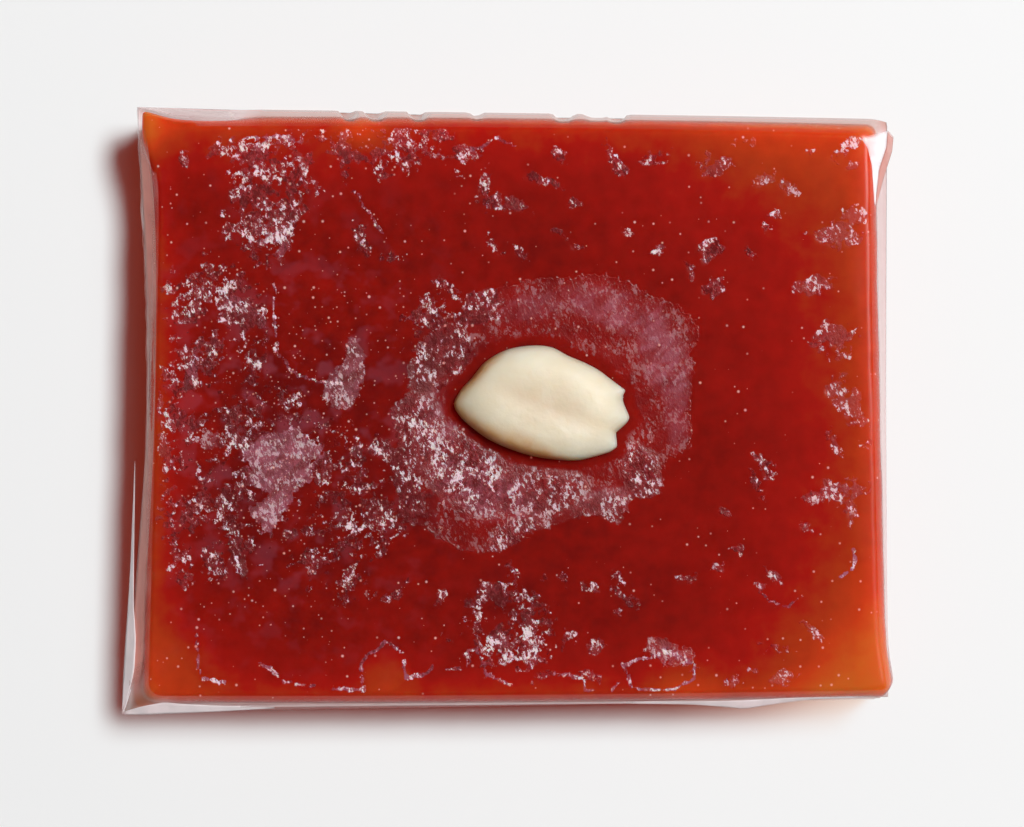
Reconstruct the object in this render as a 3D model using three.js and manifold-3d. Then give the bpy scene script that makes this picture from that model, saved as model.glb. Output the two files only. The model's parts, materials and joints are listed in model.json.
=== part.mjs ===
// A slab of quince paste with a blanched almond pressed into its top, overwrapped in clear film.
// Millimetres, +Z up. The origin is the middle of the pack's underside, +X runs along the slab
// and -Y is its front. The wrapper is one folded sheet: drawn over the almond and down the four
// sides, tucked in at both ends, and lapped underneath, where its edge leaves it open.

import * as THREE from "three";
import { mergeVertices } from "three/addons/utils/BufferGeometryUtils.js";
import Module from "manifold-3d";

const wasm = await Module();
wasm.setup();

// ---------- Driving dimensions ----------

const PASTE_TOP = 12.0; // height of the slab's top face
const FILM = 0.2; // wall of the wrapper
const PLY_GAP = 0.1; // between two plies of film under the slab
const CLEAR = 0.3; // between the film and what it holds

const FILM_BASE = FILM + PLY_GAP; // the wrapper's own underside, above the folded plies
const PASTE_BASE = FILM_BASE + FILM + CLEAR;
const FILM_TOP = PASTE_TOP + CLEAR + FILM;

// A plan outline is four corners, how far each side bows inwards at its middle, and a corner
// radius. Nothing here is square: the slab was cut by hand and the film pulls it about.
const PASTE_PLAN = {
  leftFront: [-42.2, -34.3],
  rightFront: [44.4, -33.5],
  rightBack: [43.4, 33.3],
  leftBack: [-43.0, 35.0],
  bow: { left: 1.3, right: 0.3, front: -0.4, back: 0.7 },
  radius: 2.0,
};
const FILM_HEM_PLAN = {
  leftFront: [-46.0, -36.5],
  rightFront: [45.9, -34.6],
  rightBack: [46.0, 34.6],
  leftBack: [-44.6, 36.5],
  bow: { left: 2.0, right: 1.0, front: -0.3, back: 0.4 },
  radius: 0.5,
};

const HALF_LENGTH = (PASTE_PLAN.rightFront[0] - PASTE_PLAN.leftFront[0]) / 2;

// The side of the paste: how far each ring stands inside the plan, and its height.
const PASTE_SIDE = [
  [1.3, PASTE_BASE],
  [0.3, PASTE_BASE + 0.5],
  [0.0, PASTE_BASE + 1.6],
  [0.1, PASTE_BASE + 6.0],
  [0.1, PASTE_TOP - 1.2],
  [0.45, PASTE_TOP - 0.35],
  [1.2, PASTE_TOP],
];

// The film's side runs from a flared hem up to the slab's top edge, rounds over it and lies flat.
const SKIRT_STEPS = [0, 0.06, 0.14, 0.26, 0.42, 0.6, 0.8, 1];
const SHOULDER = [
  [0.0, 1.2],
  [0.25, 0.45],
  [0.75, 0.12],
  [1.8, 0.0],
];

// The almond: its middle, heights, and the kernel's outline about that middle. The left end is
// the pointed tip, and the right end is broken off in three small steps.
const ALMOND_AT = [4.1, 0.8];
const RECESS_DEPTH = 1.2;
const ALMOND_BASE = PASTE_TOP - RECESS_DEPTH + CLEAR;
const ALMOND_THICK = 4.6;
const ALMOND_OUTLINE = [
  [-10.4, 0.0],
  [-8.2, 3.2],
  [-4.6, 6.1],
  [-0.6, 6.8],
  [4.0, 5.2],
  [8.2, 2.9],
  [9.6, 1.3],
  [9.3, 0.0],
  [10.4, -1.6],
  [9.0, -3.4],
  [8.8, -5.0],
  [5.8, -6.5],
  [0.5, -6.6],
  [-5.4, -4.3],
  [-9.2, -1.9],
];
// Rings of the kernel: share of its outline and share of its thickness.
const ALMOND_RINGS = [
  [0.78, 0.0],
  [0.93, 0.1],
  [1.0, 0.3],
  [0.96, 0.55],
  [0.86, 0.76],
  [0.7, 0.9],
  [0.42, 0.985],
];
const GROOVE_DEEP = 0.35; // the shallow valley along the kernel's top

// The film hangs from the almond to the slab as a low tent.
const TENT_REACH = 1.95; // where it touches down, in almond outlines from the middle
const TENT_RINGS = [1.0, 0.82, 0.62, 0.42, 0.22, 0.08, 0.0];
const TENT_SAG = 1.25; // 1 would be a straight slope
const TENT_BRIM = 0.86; // height of the film over the kernel's outline, as a share of the crest
const TENT_ROUNDNESS = 0.7; // how much rounder than the kernel the tent lands
// The rings above the brim: share of the kernel's outline and share of the crest.
const TENT_CROWN = [
  [0.72, 0.97],
  [0.4, 1.0],
];

const POINTS_LONG = 20; // points along a long side and a short side of every ring
const POINTS_SHORT = 16;

// Folded plies of the wrapper. An end fold's widths are shares of the end wall's, and it reaches
// so far in under the slab.
const END_FOLD = { top: 0.94, bottom: 0.58, tip: 0.24, reach: 14.0, columns: 9 };
const LAP = { from: -6.0, to: 8.0, half: 36.0, slot: 0.4, slotHalf: 33.0 };

// ---------- Outlines ----------

const clamp = (v, low, high) => Math.min(Math.max(v, low), high);
const mix = (a, b, k) => a + (b - a) * k;

// Fractions along a side, drawn a little towards its two corners.
function sideFractions(count) {
  return Array.from({ length: count }, (_, i) => {
    const even = i / count;
    return mix(even, (1 - Math.cos(Math.PI * even)) / 2, 0.6);
  });
}

// Once round a square from -1 to 1, anticlockwise from its left front corner.
const SQUARE_LOOP = [
  ...sideFractions(POINTS_LONG).map((f) => [2 * f - 1, -1]),
  ...sideFractions(POINTS_SHORT).map((f) => [1, 2 * f - 1]),
  ...sideFractions(POINTS_LONG).map((f) => [1 - 2 * f, 1]),
  ...sideFractions(POINTS_SHORT).map((f) => [-1, 1 - 2 * f]),
];

// The point of a plan at unit coordinates u, v.
function planPoint(plan, u, v) {
  const [lf, rf, rb, lb] = [plan.leftFront, plan.rightFront, plan.rightBack, plan.leftBack];
  const at = (i) =>
    mix(mix(lf[i], rf[i], (u + 1) / 2), mix(lb[i], rb[i], (u + 1) / 2), (v + 1) / 2);
  const { bow } = plan;
  const x = at(0) + (1 - v * v) * (bow.left * Math.max(0, -u) - bow.right * Math.max(0, u));
  const y = at(1) + (1 - u * u) * (bow.front * Math.max(0, -v) - bow.back * Math.max(0, v));
  return [x, y];
}

// A ring of a plan, inset by so many millimetres, with its corners rounded.
function planRing(plan, inset, z) {
  const half = [
    (plan.rightFront[0] - plan.leftFront[0]) / 2,
    (plan.rightBack[1] - plan.rightFront[1]) / 2,
  ];
  const share = half.map((h) => plan.radius / h);
  return SQUARE_LOOP.map((corner) => {
    const core = corner.map((c, i) => clamp(c, share[i] - 1, 1 - share[i]));
    const off = corner.map((c, i) => (c - core[i]) / share[i]);
    const length = Math.hypot(...off) || 1;
    const [u, v] = core.map((c, i) => (c + (share[i] * off[i]) / length) * (1 - inset / half[i]));
    const [x, y] = planPoint(plan, u, v);
    return new THREE.Vector3(x, y, z);
  });
}

function blendRings(a, b, k) {
  return a.map((p, i) => p.clone().lerp(b[i], k));
}

// ---------- The almond's outline by direction ----------

const kernelCurve = new THREE.CatmullRomCurve3(
  ALMOND_OUTLINE.map(([x, y]) => new THREE.Vector3(x, y, 0)),
  true,
  "centripetal",
);
const kernelPoints = kernelCurve.getPoints(720).map((p) => ({
  angle: Math.atan2(p.y, p.x),
  radius: Math.hypot(p.x, p.y),
}));

// The kernel's radius in a direction, from the nearest drawn points of its outline.
function kernelRadius(angle) {
  const turn = (a) => Math.abs(Math.atan2(Math.sin(a - angle), Math.cos(a - angle)));
  return kernelPoints.reduce((best, p) => (turn(p.angle) < turn(best.angle) ? p : best)).radius;
}

// The directions of the slab's own ring points as seen from the almond, so that rings join up.
const DIRECTIONS = planRing(PASTE_PLAN, 0, 0).map((p) =>
  Math.atan2(p.y - ALMOND_AT[1], p.x - ALMOND_AT[0]),
);
const KERNEL_RADII = DIRECTIONS.map(kernelRadius);

// A ring round the almond: a share of its outline, grown by so many millimetres.
function almondRing(share, grow, z) {
  return DIRECTIONS.map((angle, i) => {
    const r = KERNEL_RADII[i] * share + grow;
    return new THREE.Vector3(
      ALMOND_AT[0] + r * Math.cos(angle),
      ALMOND_AT[1] + r * Math.sin(angle),
      z,
    );
  });
}

// A ring between a share of the outline and a round one, which rests softly over the kernel.
function softRing(reach, z) {
  const mean = KERNEL_RADII.reduce((sum, r) => sum + r, 0) / KERNEL_RADII.length;
  const round = clamp(reach - 1, 0, 1) * TENT_ROUNDNESS;
  return DIRECTIONS.map((angle, i) => {
    const r = mix(KERNEL_RADII[i], mean, round) * reach + CLEAR;
    return new THREE.Vector3(
      ALMOND_AT[0] + r * Math.cos(angle),
      ALMOND_AT[1] + r * Math.sin(angle),
      z,
    );
  });
}

// ---------- Solids ----------

// Joins rings, the lowest first, into one closed body, with a fan at each end.
function loft(rings) {
  const count = rings[0].length;
  const centres = [rings[0], rings.at(-1)].map((ring) =>
    ring.reduce((sum, p) => sum.add(p), new THREE.Vector3()).divideScalar(count),
  );
  const points = [...rings.flat(), ...centres];
  const [floor, crown] = [points.length - 2, points.length - 1];
  const faces = [];
  for (let i = 0; i < count; i++) {
    const next = (i + 1) % count;
    faces.push(floor, next, i);
    for (let level = 0; level < rings.length - 1; level++) {
      const [a, b] = [level * count + i, level * count + next];
      const [c, d] = [a + count, b + count];
      faces.push(a, b, d, a, d, c);
    }
    const top = (rings.length - 1) * count;
    faces.push(crown, top + i, top + next);
  }
  return solid(points, faces);
}

// A slab of film between two grids of points with the same rows and columns.
function sheetBetween(outer, inner) {
  const [rows, columns] = [outer.length, outer[0].length];
  const points = [...outer.flat(), ...inner.flat()];
  const shift = rows * columns;
  const at = (r, c) => r * columns + c;
  const faces = [];
  const quad = (a, b, c, d) => faces.push(a, b, c, a, c, d);
  for (let r = 0; r < rows - 1; r++) {
    for (let c = 0; c < columns - 1; c++) {
      const [p, q, s, t] = [at(r, c), at(r, c + 1), at(r + 1, c + 1), at(r + 1, c)];
      quad(p, q, s, t);
      quad(shift + t, shift + s, shift + q, shift + p);
    }
  }
  for (let c = 0; c < columns - 1; c++) {
    quad(at(0, c + 1), at(0, c), shift + at(0, c), shift + at(0, c + 1));
    const last = rows - 1;
    quad(at(last, c), at(last, c + 1), shift + at(last, c + 1), shift + at(last, c));
  }
  for (let r = 0; r < rows - 1; r++) {
    const last = columns - 1;
    quad(at(r, 0), at(r + 1, 0), shift + at(r + 1, 0), shift + at(r, 0));
    quad(at(r + 1, last), at(r, last), shift + at(r, last), shift + at(r + 1, last));
  }
  return solid(points, faces);
}

function box(low, high) {
  const size = high.map((h, i) => h - low[i]);
  const middle = high.map((h, i) => (h + low[i]) / 2);
  return solidOf(new THREE.BoxGeometry(...size).translate(...middle));
}

function plate(outline, low, high) {
  const shape = new THREE.Shape(outline.map(([x, y]) => new THREE.Vector2(x, y)));
  const raised = new THREE.ExtrudeGeometry(shape, { depth: high - low, bevelEnabled: false });
  return solidOf(raised.translate(0, 0, low));
}

function solid(points, faces) {
  const vertProperties = new Float32Array(points.flatMap((p) => [p.x, p.y, p.z]));
  return new wasm.Manifold(
    new wasm.Mesh({ numProp: 3, vertProperties, triVerts: new Uint32Array(faces) }),
  );
}

function solidOf(geometry) {
  geometry.deleteAttribute("normal");
  geometry.deleteAttribute("uv");
  const merged = mergeVertices(geometry);
  return new wasm.Manifold(
    new wasm.Mesh({
      numProp: 3,
      vertProperties: merged.attributes.position.array,
      triVerts: new Uint32Array(merged.index.array),
    }),
  );
}

function meshOf(name, made, material) {
  const { vertProperties, triVerts } = made.getMesh();
  const geometry = new THREE.BufferGeometry();
  geometry.setAttribute("position", new THREE.BufferAttribute(vertProperties, 3));
  geometry.setIndex(new THREE.BufferAttribute(triVerts, 1));
  geometry.computeVertexNormals();
  const mesh = new THREE.Mesh(geometry, material);
  mesh.name = name;
  return mesh;
}

// ---------- Quince paste ----------

// The slab's sides and top, then the dent that the almond lies in.
function pasteSolid() {
  const sides = PASTE_SIDE.map(([inset, z]) => planRing(PASTE_PLAN, inset, z));
  const edge = sides.at(-1);
  const rim = almondRing(1, CLEAR + 0.7, PASTE_TOP);
  const floor = PASTE_TOP - RECESS_DEPTH;
  return loft([
    ...sides,
    blendRings(edge, rim, 0.5),
    rim,
    almondRing(1, CLEAR, PASTE_TOP - 0.35),
    almondRing(1, CLEAR - 0.2, floor + 0.45),
    almondRing(0.86, CLEAR, floor),
  ]);
}

// ---------- Almond ----------

// Height of the kernel's top face lost to the valley that runs along it.
function groove(x, y) {
  const along = x - ALMOND_AT[0];
  const across = y - ALMOND_AT[1] + 0.6 + 0.12 * along;
  return GROOVE_DEEP * Math.exp(-((across / 1.5) ** 2)) * Math.exp(-((along / 7) ** 2));
}

function almondSolid() {
  const rings = ALMOND_RINGS.map(([share, height]) => {
    const ring = almondRing(share, 0, ALMOND_BASE + height * ALMOND_THICK);
    return height < 0.7 ? ring : ring.map((p) => p.setZ(p.z - groove(p.x, p.y)));
  });
  return loft(rings);
}

// ---------- Film wrapper ----------

// How far up the wall the skirt has drawn in from the hem to the slab, as a share.
const drawnIn = (s) => 1 - (1 - s) ** 2;

// The film's outer skin, drawn in by so many millimetres all round.
function filmSkin(inset) {
  const hem = planRing(FILM_HEM_PLAN, inset, 0);
  const top = planRing(PASTE_PLAN, inset - CLEAR - FILM, 0);
  const [low, high] = [FILM_BASE + inset, FILM_TOP - inset];
  const turn = high - SHOULDER[0][1];
  const skirt = SKIRT_STEPS.map((s) => {
    const ring = blendRings(hem, top, drawnIn(s));
    return ring.map((p) => p.setZ(mix(low, turn, s)));
  });
  const shoulder = SHOULDER.slice(1).map(([inwards, down]) =>
    planRing(PASTE_PLAN, inset + inwards - CLEAR - FILM, high - down),
  );
  const crest = ALMOND_BASE + ALMOND_THICK + CLEAR + FILM - inset - high;
  const edge = shoulder.at(-1);
  const landing = softRing(TENT_REACH, high);
  const tent = TENT_RINGS.map((fall) => {
    const ring = softRing(mix(1, TENT_REACH, fall), high);
    return ring.map((p) => p.setZ(high + crest * (1 - fall) ** TENT_SAG * TENT_BRIM));
  });
  const crown = TENT_CROWN.map(([share, rise]) => almondRing(share, CLEAR, high + crest * rise));
  return [
    ...skirt,
    ...shoulder,
    blendRings(edge, landing, 0.55),
    ...tent,
    ...crown,
  ];
}

// A point of an end wall: side is -1 at the left and 1 at the right, v runs from front to back
// and s from the hem to the top edge.
function endWallPoint(side, v, s, outwards) {
  const hem = planPoint(FILM_HEM_PLAN, side, v);
  const top = planPoint(PASTE_PLAN, side * (1 + (CLEAR + FILM) / HALF_LENGTH), v);
  const k = drawnIn(s);
  const z = mix(FILM_BASE, FILM_TOP - SHOULDER[0][1], s);
  return new THREE.Vector3(mix(hem[0], top[0], k) + side * outwards, mix(hem[1], top[1], k), z);
}

// The outer ply of an end: it comes down off the top edge, narrowing as a parcel's end does,
// and tucks under the slab.
function endFold(side) {
  const { columns } = END_FOLD;
  const across = Array.from({ length: columns }, (_, i) => (2 * i) / (columns - 1) - 1);
  const width = (s) => mix(END_FOLD.bottom, END_FOLD.top, s);
  const rows = (outwards) => [
    across.map((f) => endWallPoint(side, f * width(0), 0, outwards).setZ(0)),
    ...SKIRT_STEPS.map((s) => across.map((f) => endWallPoint(side, f * width(s), s, outwards))),
  ];
  const faced = (grid) => (side > 0 ? grid : grid.map((row) => [...row].reverse()));
  const ply = sheetBetween(faced(rows(FILM)), faced(rows(-FILM / 2)));
  const heel = [-1, 1].map((f) => endWallPoint(side, f * END_FOLD.bottom, 0, 0));
  const tip = heel.map((p) => [p.x - side * END_FOLD.reach, (p.y * END_FOLD.tip) / END_FOLD.bottom]);
  const outline = [[heel[0].x, heel[0].y], [heel[1].x, heel[1].y], tip[1], tip[0]];
  const under = plate(side > 0 ? outline : outline.reverse(), 0, FILM);
  return ply.add(under);
}

// The lap underneath: one long edge of the sheet lies over the other, and a slot through the
// ply above it leaves the inside open along the seam.
function lapPly() {
  const ply = box([-LAP.half, LAP.from, 0], [LAP.half, LAP.to, FILM]);
  const fold = box([-LAP.half, LAP.from, 0], [LAP.half, LAP.from + FILM, FILM_BASE + FILM / 2]);
  return ply.add(fold);
}

function lapSlot() {
  return box(
    [-LAP.slotHalf, -LAP.slot / 2, FILM_BASE - PLY_GAP / 2],
    [LAP.slotHalf, LAP.slot / 2, FILM_BASE + FILM * 1.5],
  );
}

function wrapperSolid() {
  const shell = loft(filmSkin(0)).subtract(loft(filmSkin(FILM)));
  return shell.subtract(lapSlot()).add(lapPly()).add(endFold(-1)).add(endFold(1));
}

// ---------- The object ----------

const pasteMaterial = new THREE.MeshStandardMaterial({
  color: new THREE.Color("#8e1a0c"),
  roughness: 0.3,
  metalness: 0,
});
const almondMaterial = new THREE.MeshStandardMaterial({
  color: new THREE.Color("#e9dcc2"),
  roughness: 0.55,
  metalness: 0,
});
const filmMaterial = new THREE.MeshStandardMaterial({
  color: new THREE.Color("#f6f2f2"),
  roughness: 0.08,
  metalness: 0,
  transparent: true,
  opacity: 0.25,
});

const pack = new THREE.Group();
pack.add(meshOf("quince_paste", pasteSolid(), pasteMaterial));
pack.add(meshOf("almond", almondSolid(), almondMaterial));
pack.add(meshOf("wrapper", wrapperSolid(), filmMaterial));

export default pack;
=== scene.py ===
# %% [markdown]
# # A slab of quince paste in clear film
# Quince paste is fruit boiled down with sugar until it sets to a firm, translucent red jelly. This
# slab is as long as a playing card, has a blanched almond pressed into its top, and is wrapped
# in one sheet of clear cellulose film. Four things make it look real: light that soaks into the
# jelly, air caught between the film and the jelly, the dull almond, and the film's bright edges.

# %% Load the frame
import json
import math

import bpy
import numpy as np
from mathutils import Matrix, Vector, noise

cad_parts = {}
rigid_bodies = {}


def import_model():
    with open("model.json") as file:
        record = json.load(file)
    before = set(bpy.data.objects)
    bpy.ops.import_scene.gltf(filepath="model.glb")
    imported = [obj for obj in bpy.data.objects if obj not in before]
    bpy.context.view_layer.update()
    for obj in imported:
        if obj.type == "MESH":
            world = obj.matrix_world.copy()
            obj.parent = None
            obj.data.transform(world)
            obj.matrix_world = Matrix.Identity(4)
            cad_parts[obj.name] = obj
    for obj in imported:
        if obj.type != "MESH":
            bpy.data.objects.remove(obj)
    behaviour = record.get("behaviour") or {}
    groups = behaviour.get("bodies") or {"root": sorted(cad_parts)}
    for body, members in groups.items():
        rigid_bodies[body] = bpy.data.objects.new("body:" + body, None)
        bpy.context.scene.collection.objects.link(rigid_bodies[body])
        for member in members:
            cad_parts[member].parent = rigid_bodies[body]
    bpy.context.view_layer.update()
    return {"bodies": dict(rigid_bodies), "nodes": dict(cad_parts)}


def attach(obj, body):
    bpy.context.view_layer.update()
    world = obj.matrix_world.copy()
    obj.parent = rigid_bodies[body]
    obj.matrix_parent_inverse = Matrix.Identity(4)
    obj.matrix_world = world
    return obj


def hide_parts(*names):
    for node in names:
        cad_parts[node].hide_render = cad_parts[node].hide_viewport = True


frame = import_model()
MM = 0.001
print("CAD nodes:", sorted(frame["nodes"]))

# %% [markdown]
# ## The studio
# The pack lies on pale paper and is seen from straight above, through a long lens, so that its
# sides hardly show. Two small soft lights stand side by side, high on the right, inside a wider
# and fainter glow, so that shadows have a soft rim. Film is a mirror, so what it faces matters:
# the sky above is dark, which leaves the flat film unseen, and only the horizon is pale, which
# lights up the film's slanting edges. The camera itself sees the sky as plain white.

# %% Camera
LOOK_FROM = Vector((0.6, -0.4, 611.0)) * MM
LENS = 179.0

bpy.ops.object.camera_add(location=LOOK_FROM, rotation=(0, 0, 0))
camera = bpy.context.object
camera.name = "camera"
camera.data.lens = LENS
camera.data.sensor_width = 36.0
camera.data.clip_start = 0.01
bpy.context.scene.camera = camera
print("camera height, m:", round(LOOK_FROM.z, 3))


# %% Small helpers for shader nodes
def new_material(name):
    """A new material with an empty node tree and an output."""
    material = bpy.data.materials.new(name)
    material.use_nodes = True
    material.node_tree.nodes.clear()
    output = material.node_tree.nodes.new("ShaderNodeOutputMaterial")
    return material, material.node_tree, output


def set_socket(tree, socket, value):
    """Links a socket's value to an input, or sets the input to a plain value."""
    if isinstance(value, bpy.types.NodeSocket):
        tree.links.new(value, socket)
    else:
        socket.default_value = value


def node(tree, kind, inputs=None, **settings):
    """Adds a node, with its settings, and its inputs by name or by place."""
    made = tree.nodes.new("ShaderNode" + kind)
    for name, value in settings.items():
        setattr(made, name, value)
    for key, value in (inputs or {}).items():
        set_socket(tree, made.inputs[key], value)
    return made


def maths(tree, operation, *values):
    """One step of arithmetic."""
    return node(tree, "Math", dict(enumerate(values)), operation=operation).outputs[0]


def ramp(tree, value, low, high, to_low=0.0, to_high=1.0):
    """A soft step from to_low to to_high while value goes from low to high."""
    inputs = {"Value": value, "From Min": low, "From Max": high, "To Min": to_low, "To Max": to_high}
    return node(tree, "MapRange", inputs, interpolation_type="SMOOTHSTEP").outputs["Result"]


def blend_colour(tree, factor, first, second):
    """A mix of two colours."""
    made = node(tree, "Mix", data_type="RGBA")
    for place, value in ((0, factor), (6, first), (7, second)):
        set_socket(tree, made.inputs[place], value)
    return made.outputs[2]


def colour_scale(tree, value, stops):
    """The colour at a value on a scale of stops, each a place from 0 to 1 and a colour."""
    made = node(tree, "ValToRGB", {"Fac": value})
    scale = made.color_ramp.elements
    for place, colour in stops[1:-1]:
        scale.new(place).color = colour
    scale[0].color, scale[-1].color = stops[0][1], stops[-1][1]
    return made.outputs["Color"]


def attribute(tree, name):
    """A number that the mesh holds at each of its points."""
    return node(tree, "Attribute", attribute_name=name).outputs["Fac"]


# %% Lights, paper and sky
PAPER = (0.90, 0.90, 0.90, 1)
LIGHTS = [
    # name, towards, metres away, metres wide, watts
    ("key_light_back", (0.385, 0.31, 0.87), 1.8, 0.45, 16.3),
    ("key_light_side", (0.385, 0.19, 0.90), 1.8, 0.45, 16.3),
    ("key_glow", (0.38, 0.24, 0.89), 1.8, 1.00, 3.2),
]
# How bright the sky is at the horizon, higher up, and to the camera.
SKY_LOW, SKY_HIGH, SKY_SEEN = 0.55, 0.012, 0.88

for name, towards, away, wide, watts in LIGHTS:
    towards = Vector(towards).normalized()
    bpy.ops.object.light_add(type="AREA", location=towards * away)
    light = bpy.context.object
    light.name = name
    light.rotation_euler = towards.to_track_quat("Z", "Y").to_euler()
    light.data.shape = "DISK"
    light.data.size, light.data.energy = wide, watts

bpy.ops.mesh.primitive_plane_add(size=6.0)
paper = bpy.context.object
paper.name = "paper"
paper_material, tree, output = new_material("pale paper")
paper_shader = node(tree, "BsdfPrincipled", {"Base Color": PAPER, "Roughness": 0.9})
tree.links.new(paper_shader.outputs[0], output.inputs["Surface"])
paper.data.materials.append(paper_material)

world = bpy.data.worlds.new("studio")
bpy.context.scene.world = world
world.use_nodes = True
tree = world.node_tree
tree.nodes.clear()
direction = node(tree, "TexCoord").outputs["Generated"]
height = node(tree, "SeparateXYZ", {0: direction}).outputs["Z"]
glow = ramp(tree, height, 0.05, 0.22, SKY_LOW, SKY_HIGH)
seen = node(tree, "LightPath").outputs["Is Camera Ray"]
strength = maths(tree, "ADD", maths(tree, "MULTIPLY", seen, SKY_SEEN),
                 maths(tree, "MULTIPLY", maths(tree, "SUBTRACT", 1.0, seen), glow))
background = node(tree, "Background", {"Color": (1, 1, 1, 1), "Strength": strength})
tree.links.new(background.outputs[0], node(tree, "OutputWorld").inputs["Surface"])
bpy.context.scene.view_settings.view_transform = "Standard"
print("lights:", len(LIGHTS))

# %% [markdown]
# ## The outline of the slab
# The slab was cut by hand, so no two of its sides are alike. Its outline is four corners, and
# each side bows in a little at its middle. One function turns a place on a flat square, with u
# and v from -1 to 1, into a place on the slab. The jelly and the film both use it, so the film
# fits the jelly however the corners are moved. Lower down the slab flares, its left back corner
# is drawn out to a horn at the top, and its right front corner is cut off.

# %% Outline functions, in millimetres
JELLY_PLAN = {
    "corners": {"left front": (-42.9, -34.3), "right front": (44.7, -33.6),
                "right back": (43.3, 33.2), "left back": (-41.4, 34.1)},
    "bow": {"left": 0.1, "right": 0.15, "front": -0.25, "back": -0.3}, "shape": 2.0,
}
HEM_PLAN = {
    "corners": {"left front": (-45.78, -36.35), "right front": (45.75, -34.4),
                "right back": (45.6, 34.6), "left back": (-44.4, 36.37)},
    "bow": {"left": 2.3, "right": 0.2, "front": -0.1, "back": 0.3}, "shape": 1.3,
}
HALF_LONG, HALF_WIDE = 43.3, 34.0
JELLY_TOP = 12.05
# The slab's foot is wider than its top by so much on each side.
FLARE = {"left": 1.1, "right": 0.8, "back": 1.8, "front": 0.8}
# Places along the back where the foot comes in: x, half width, and its share of the flare.
BACK_NOTCHES = [(-36.5, 6.0, 0.85), (-18.4, 0.7, 1.0), (-15.3, 0.9, 0.9), (-10.3, 0.8, 1.0),
                (-3.5, 0.6, 0.5), (6.7, 1.0, 0.9), (10.6, 1.3, 0.5), (12.9, 0.9, 1.0)]
# The top of the left back corner is drawn out, to the left over a long way and to the back.
HORN = {"left": 1.8, "left from": 33.5, "left over": 4.3, "back": 1.35, "back over": 2.4,
        "reach": 3.0}
# The right front corner is drawn out a little, over a reach from each of its sides. Then most of
# it is cut off: the cut's place, the way out of it, and the share that goes.
PULL, PULL_REACH = 0.75, (4.0, 4.5)
CUT_AT, CUT_OUT, CUT_SHARE = (44.2, -33.75), (0.80, -0.60), 0.8
# How round each corner is, as a share of the radius asked for.
ROUNDNESS = {"left back": 0.35, "left front": 1.3, "right front": 0.5, "right back": 1.0}


def from_sides(u, v):
    """How far places u, v are from each side of the slab, in millimetres."""
    return {"right": (1 - u) * HALF_LONG, "left": (1 + u) * HALF_LONG,
            "back": (1 - v) * HALF_WIDE, "front": (1 + v) * HALF_WIDE}


def near(distance, reach):
    """1 where a distance is 0, fading to nothing at about twice its reach."""
    return np.exp(-(distance / reach) ** 2)


def plan_point(plan, u, v):
    """The x and y of places u, v on a plan."""
    corners = {name: np.array(place) for name, place in plan["corners"].items()}
    right, back = ((u + 1) / 2)[:, None], ((v + 1) / 2)[:, None]
    front_side = corners["left front"] * (1 - right) + corners["right front"] * right
    back_side = corners["left back"] * (1 - right) + corners["right back"] * right
    place = front_side * (1 - back) + back_side * back
    bow = plan["bow"]
    along, across = 1 - np.abs(v) ** plan["shape"], 1 - np.abs(u) ** plan["shape"]
    place[:, 0] += along * (bow["left"] * np.maximum(0, -u) - bow["right"] * np.maximum(0, u))
    place[:, 1] += across * (bow["front"] * np.maximum(0, -v) - bow["back"] * np.maximum(0, v))
    return place


def round_corners(u, v, radius):
    """Draws the square's corners in to a radius in millimetres."""
    corners = [(u < 0) & (v > 0), (u < 0) & (v < 0), (u > 0) & (v < 0)]
    shares = [ROUNDNESS[name] for name in ("left back", "left front", "right front")]
    radius = radius * np.select(corners, shares, ROUNDNESS["right back"])
    share = np.stack([radius / HALF_LONG, radius / HALF_WIDE], axis=1)
    flat = np.stack([u, v], axis=1)
    core = np.clip(flat, share - 1, 1 - share)
    off = (flat - core) / share
    length = np.hypot(off[:, 0], off[:, 1])
    longest = np.abs(off).max(axis=1)
    keep = np.where(length > 0, longest / np.maximum(length, 1e-9), 1.0)
    rounded = core + off * keep[:, None] * share
    return rounded[:, 0], rounded[:, 1]


def slab_point(u, v, inset, high, radius):
    """A place on the slab, so far in from its side and so high up."""
    u, v = round_corners(u, v, radius)
    u, v = u * (1 - inset / HALF_LONG), v * (1 - inset / HALF_WIDE)
    place = plan_point(JELLY_PLAN, u, v)
    notch = np.ones(len(u))
    for x, half, share in BACK_NOTCHES:
        notch *= 1 - share * np.exp(-((place[:, 0] - x) / half) ** 4)
    out = np.stack([np.where(u > 0, FLARE["right"], FLARE["left"]) * u,
                    np.where(v > 0, FLARE["back"] * notch, FLARE["front"]) * v], axis=1)
    down = np.clip(1 - high / JELLY_TOP, 0, 1) ** 0.8
    away = from_sides(u, v)
    below = np.maximum(0, HORN["left from"] - place[:, 1]) / HORN["left over"]
    left = HORN["left"] / (1 + below ** 4) * near(away["left"], HORN["reach"])
    back = HORN["back"] * near(away["left"], HORN["back over"]) * near(away["back"], HORN["reach"])
    horn = np.column_stack([-left, back]) * np.reshape((1 - down) ** 1.5, (-1, 1))
    place = place + out * np.reshape(down, (-1, 1)) + horn
    place[:, 0] += PULL * near(away["right"], PULL_REACH[0]) * near(away["front"], PULL_REACH[1])
    over = np.maximum(0, (place - CUT_AT) @ np.array(CUT_OUT))
    return place - CUT_SHARE * over[:, None] * np.array(CUT_OUT)


def cloudy(points, size, octaves=3, seed=0):
    """Soft noise from about -1 to 1 at points in space or on the plan, in patches of a size."""
    if points.shape[1] == 2:
        points = np.column_stack([points, np.zeros(len(points))])
    shift = Vector((7.3 * seed, -3.1 * seed, 1.7 * seed))
    return np.array([noise.fractal(Vector(p) / size + shift, 1.0, 2.0, octaves) for p in points])


print("slab, mm:", 2 * HALF_LONG, "x", 2 * HALF_WIDE)

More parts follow.
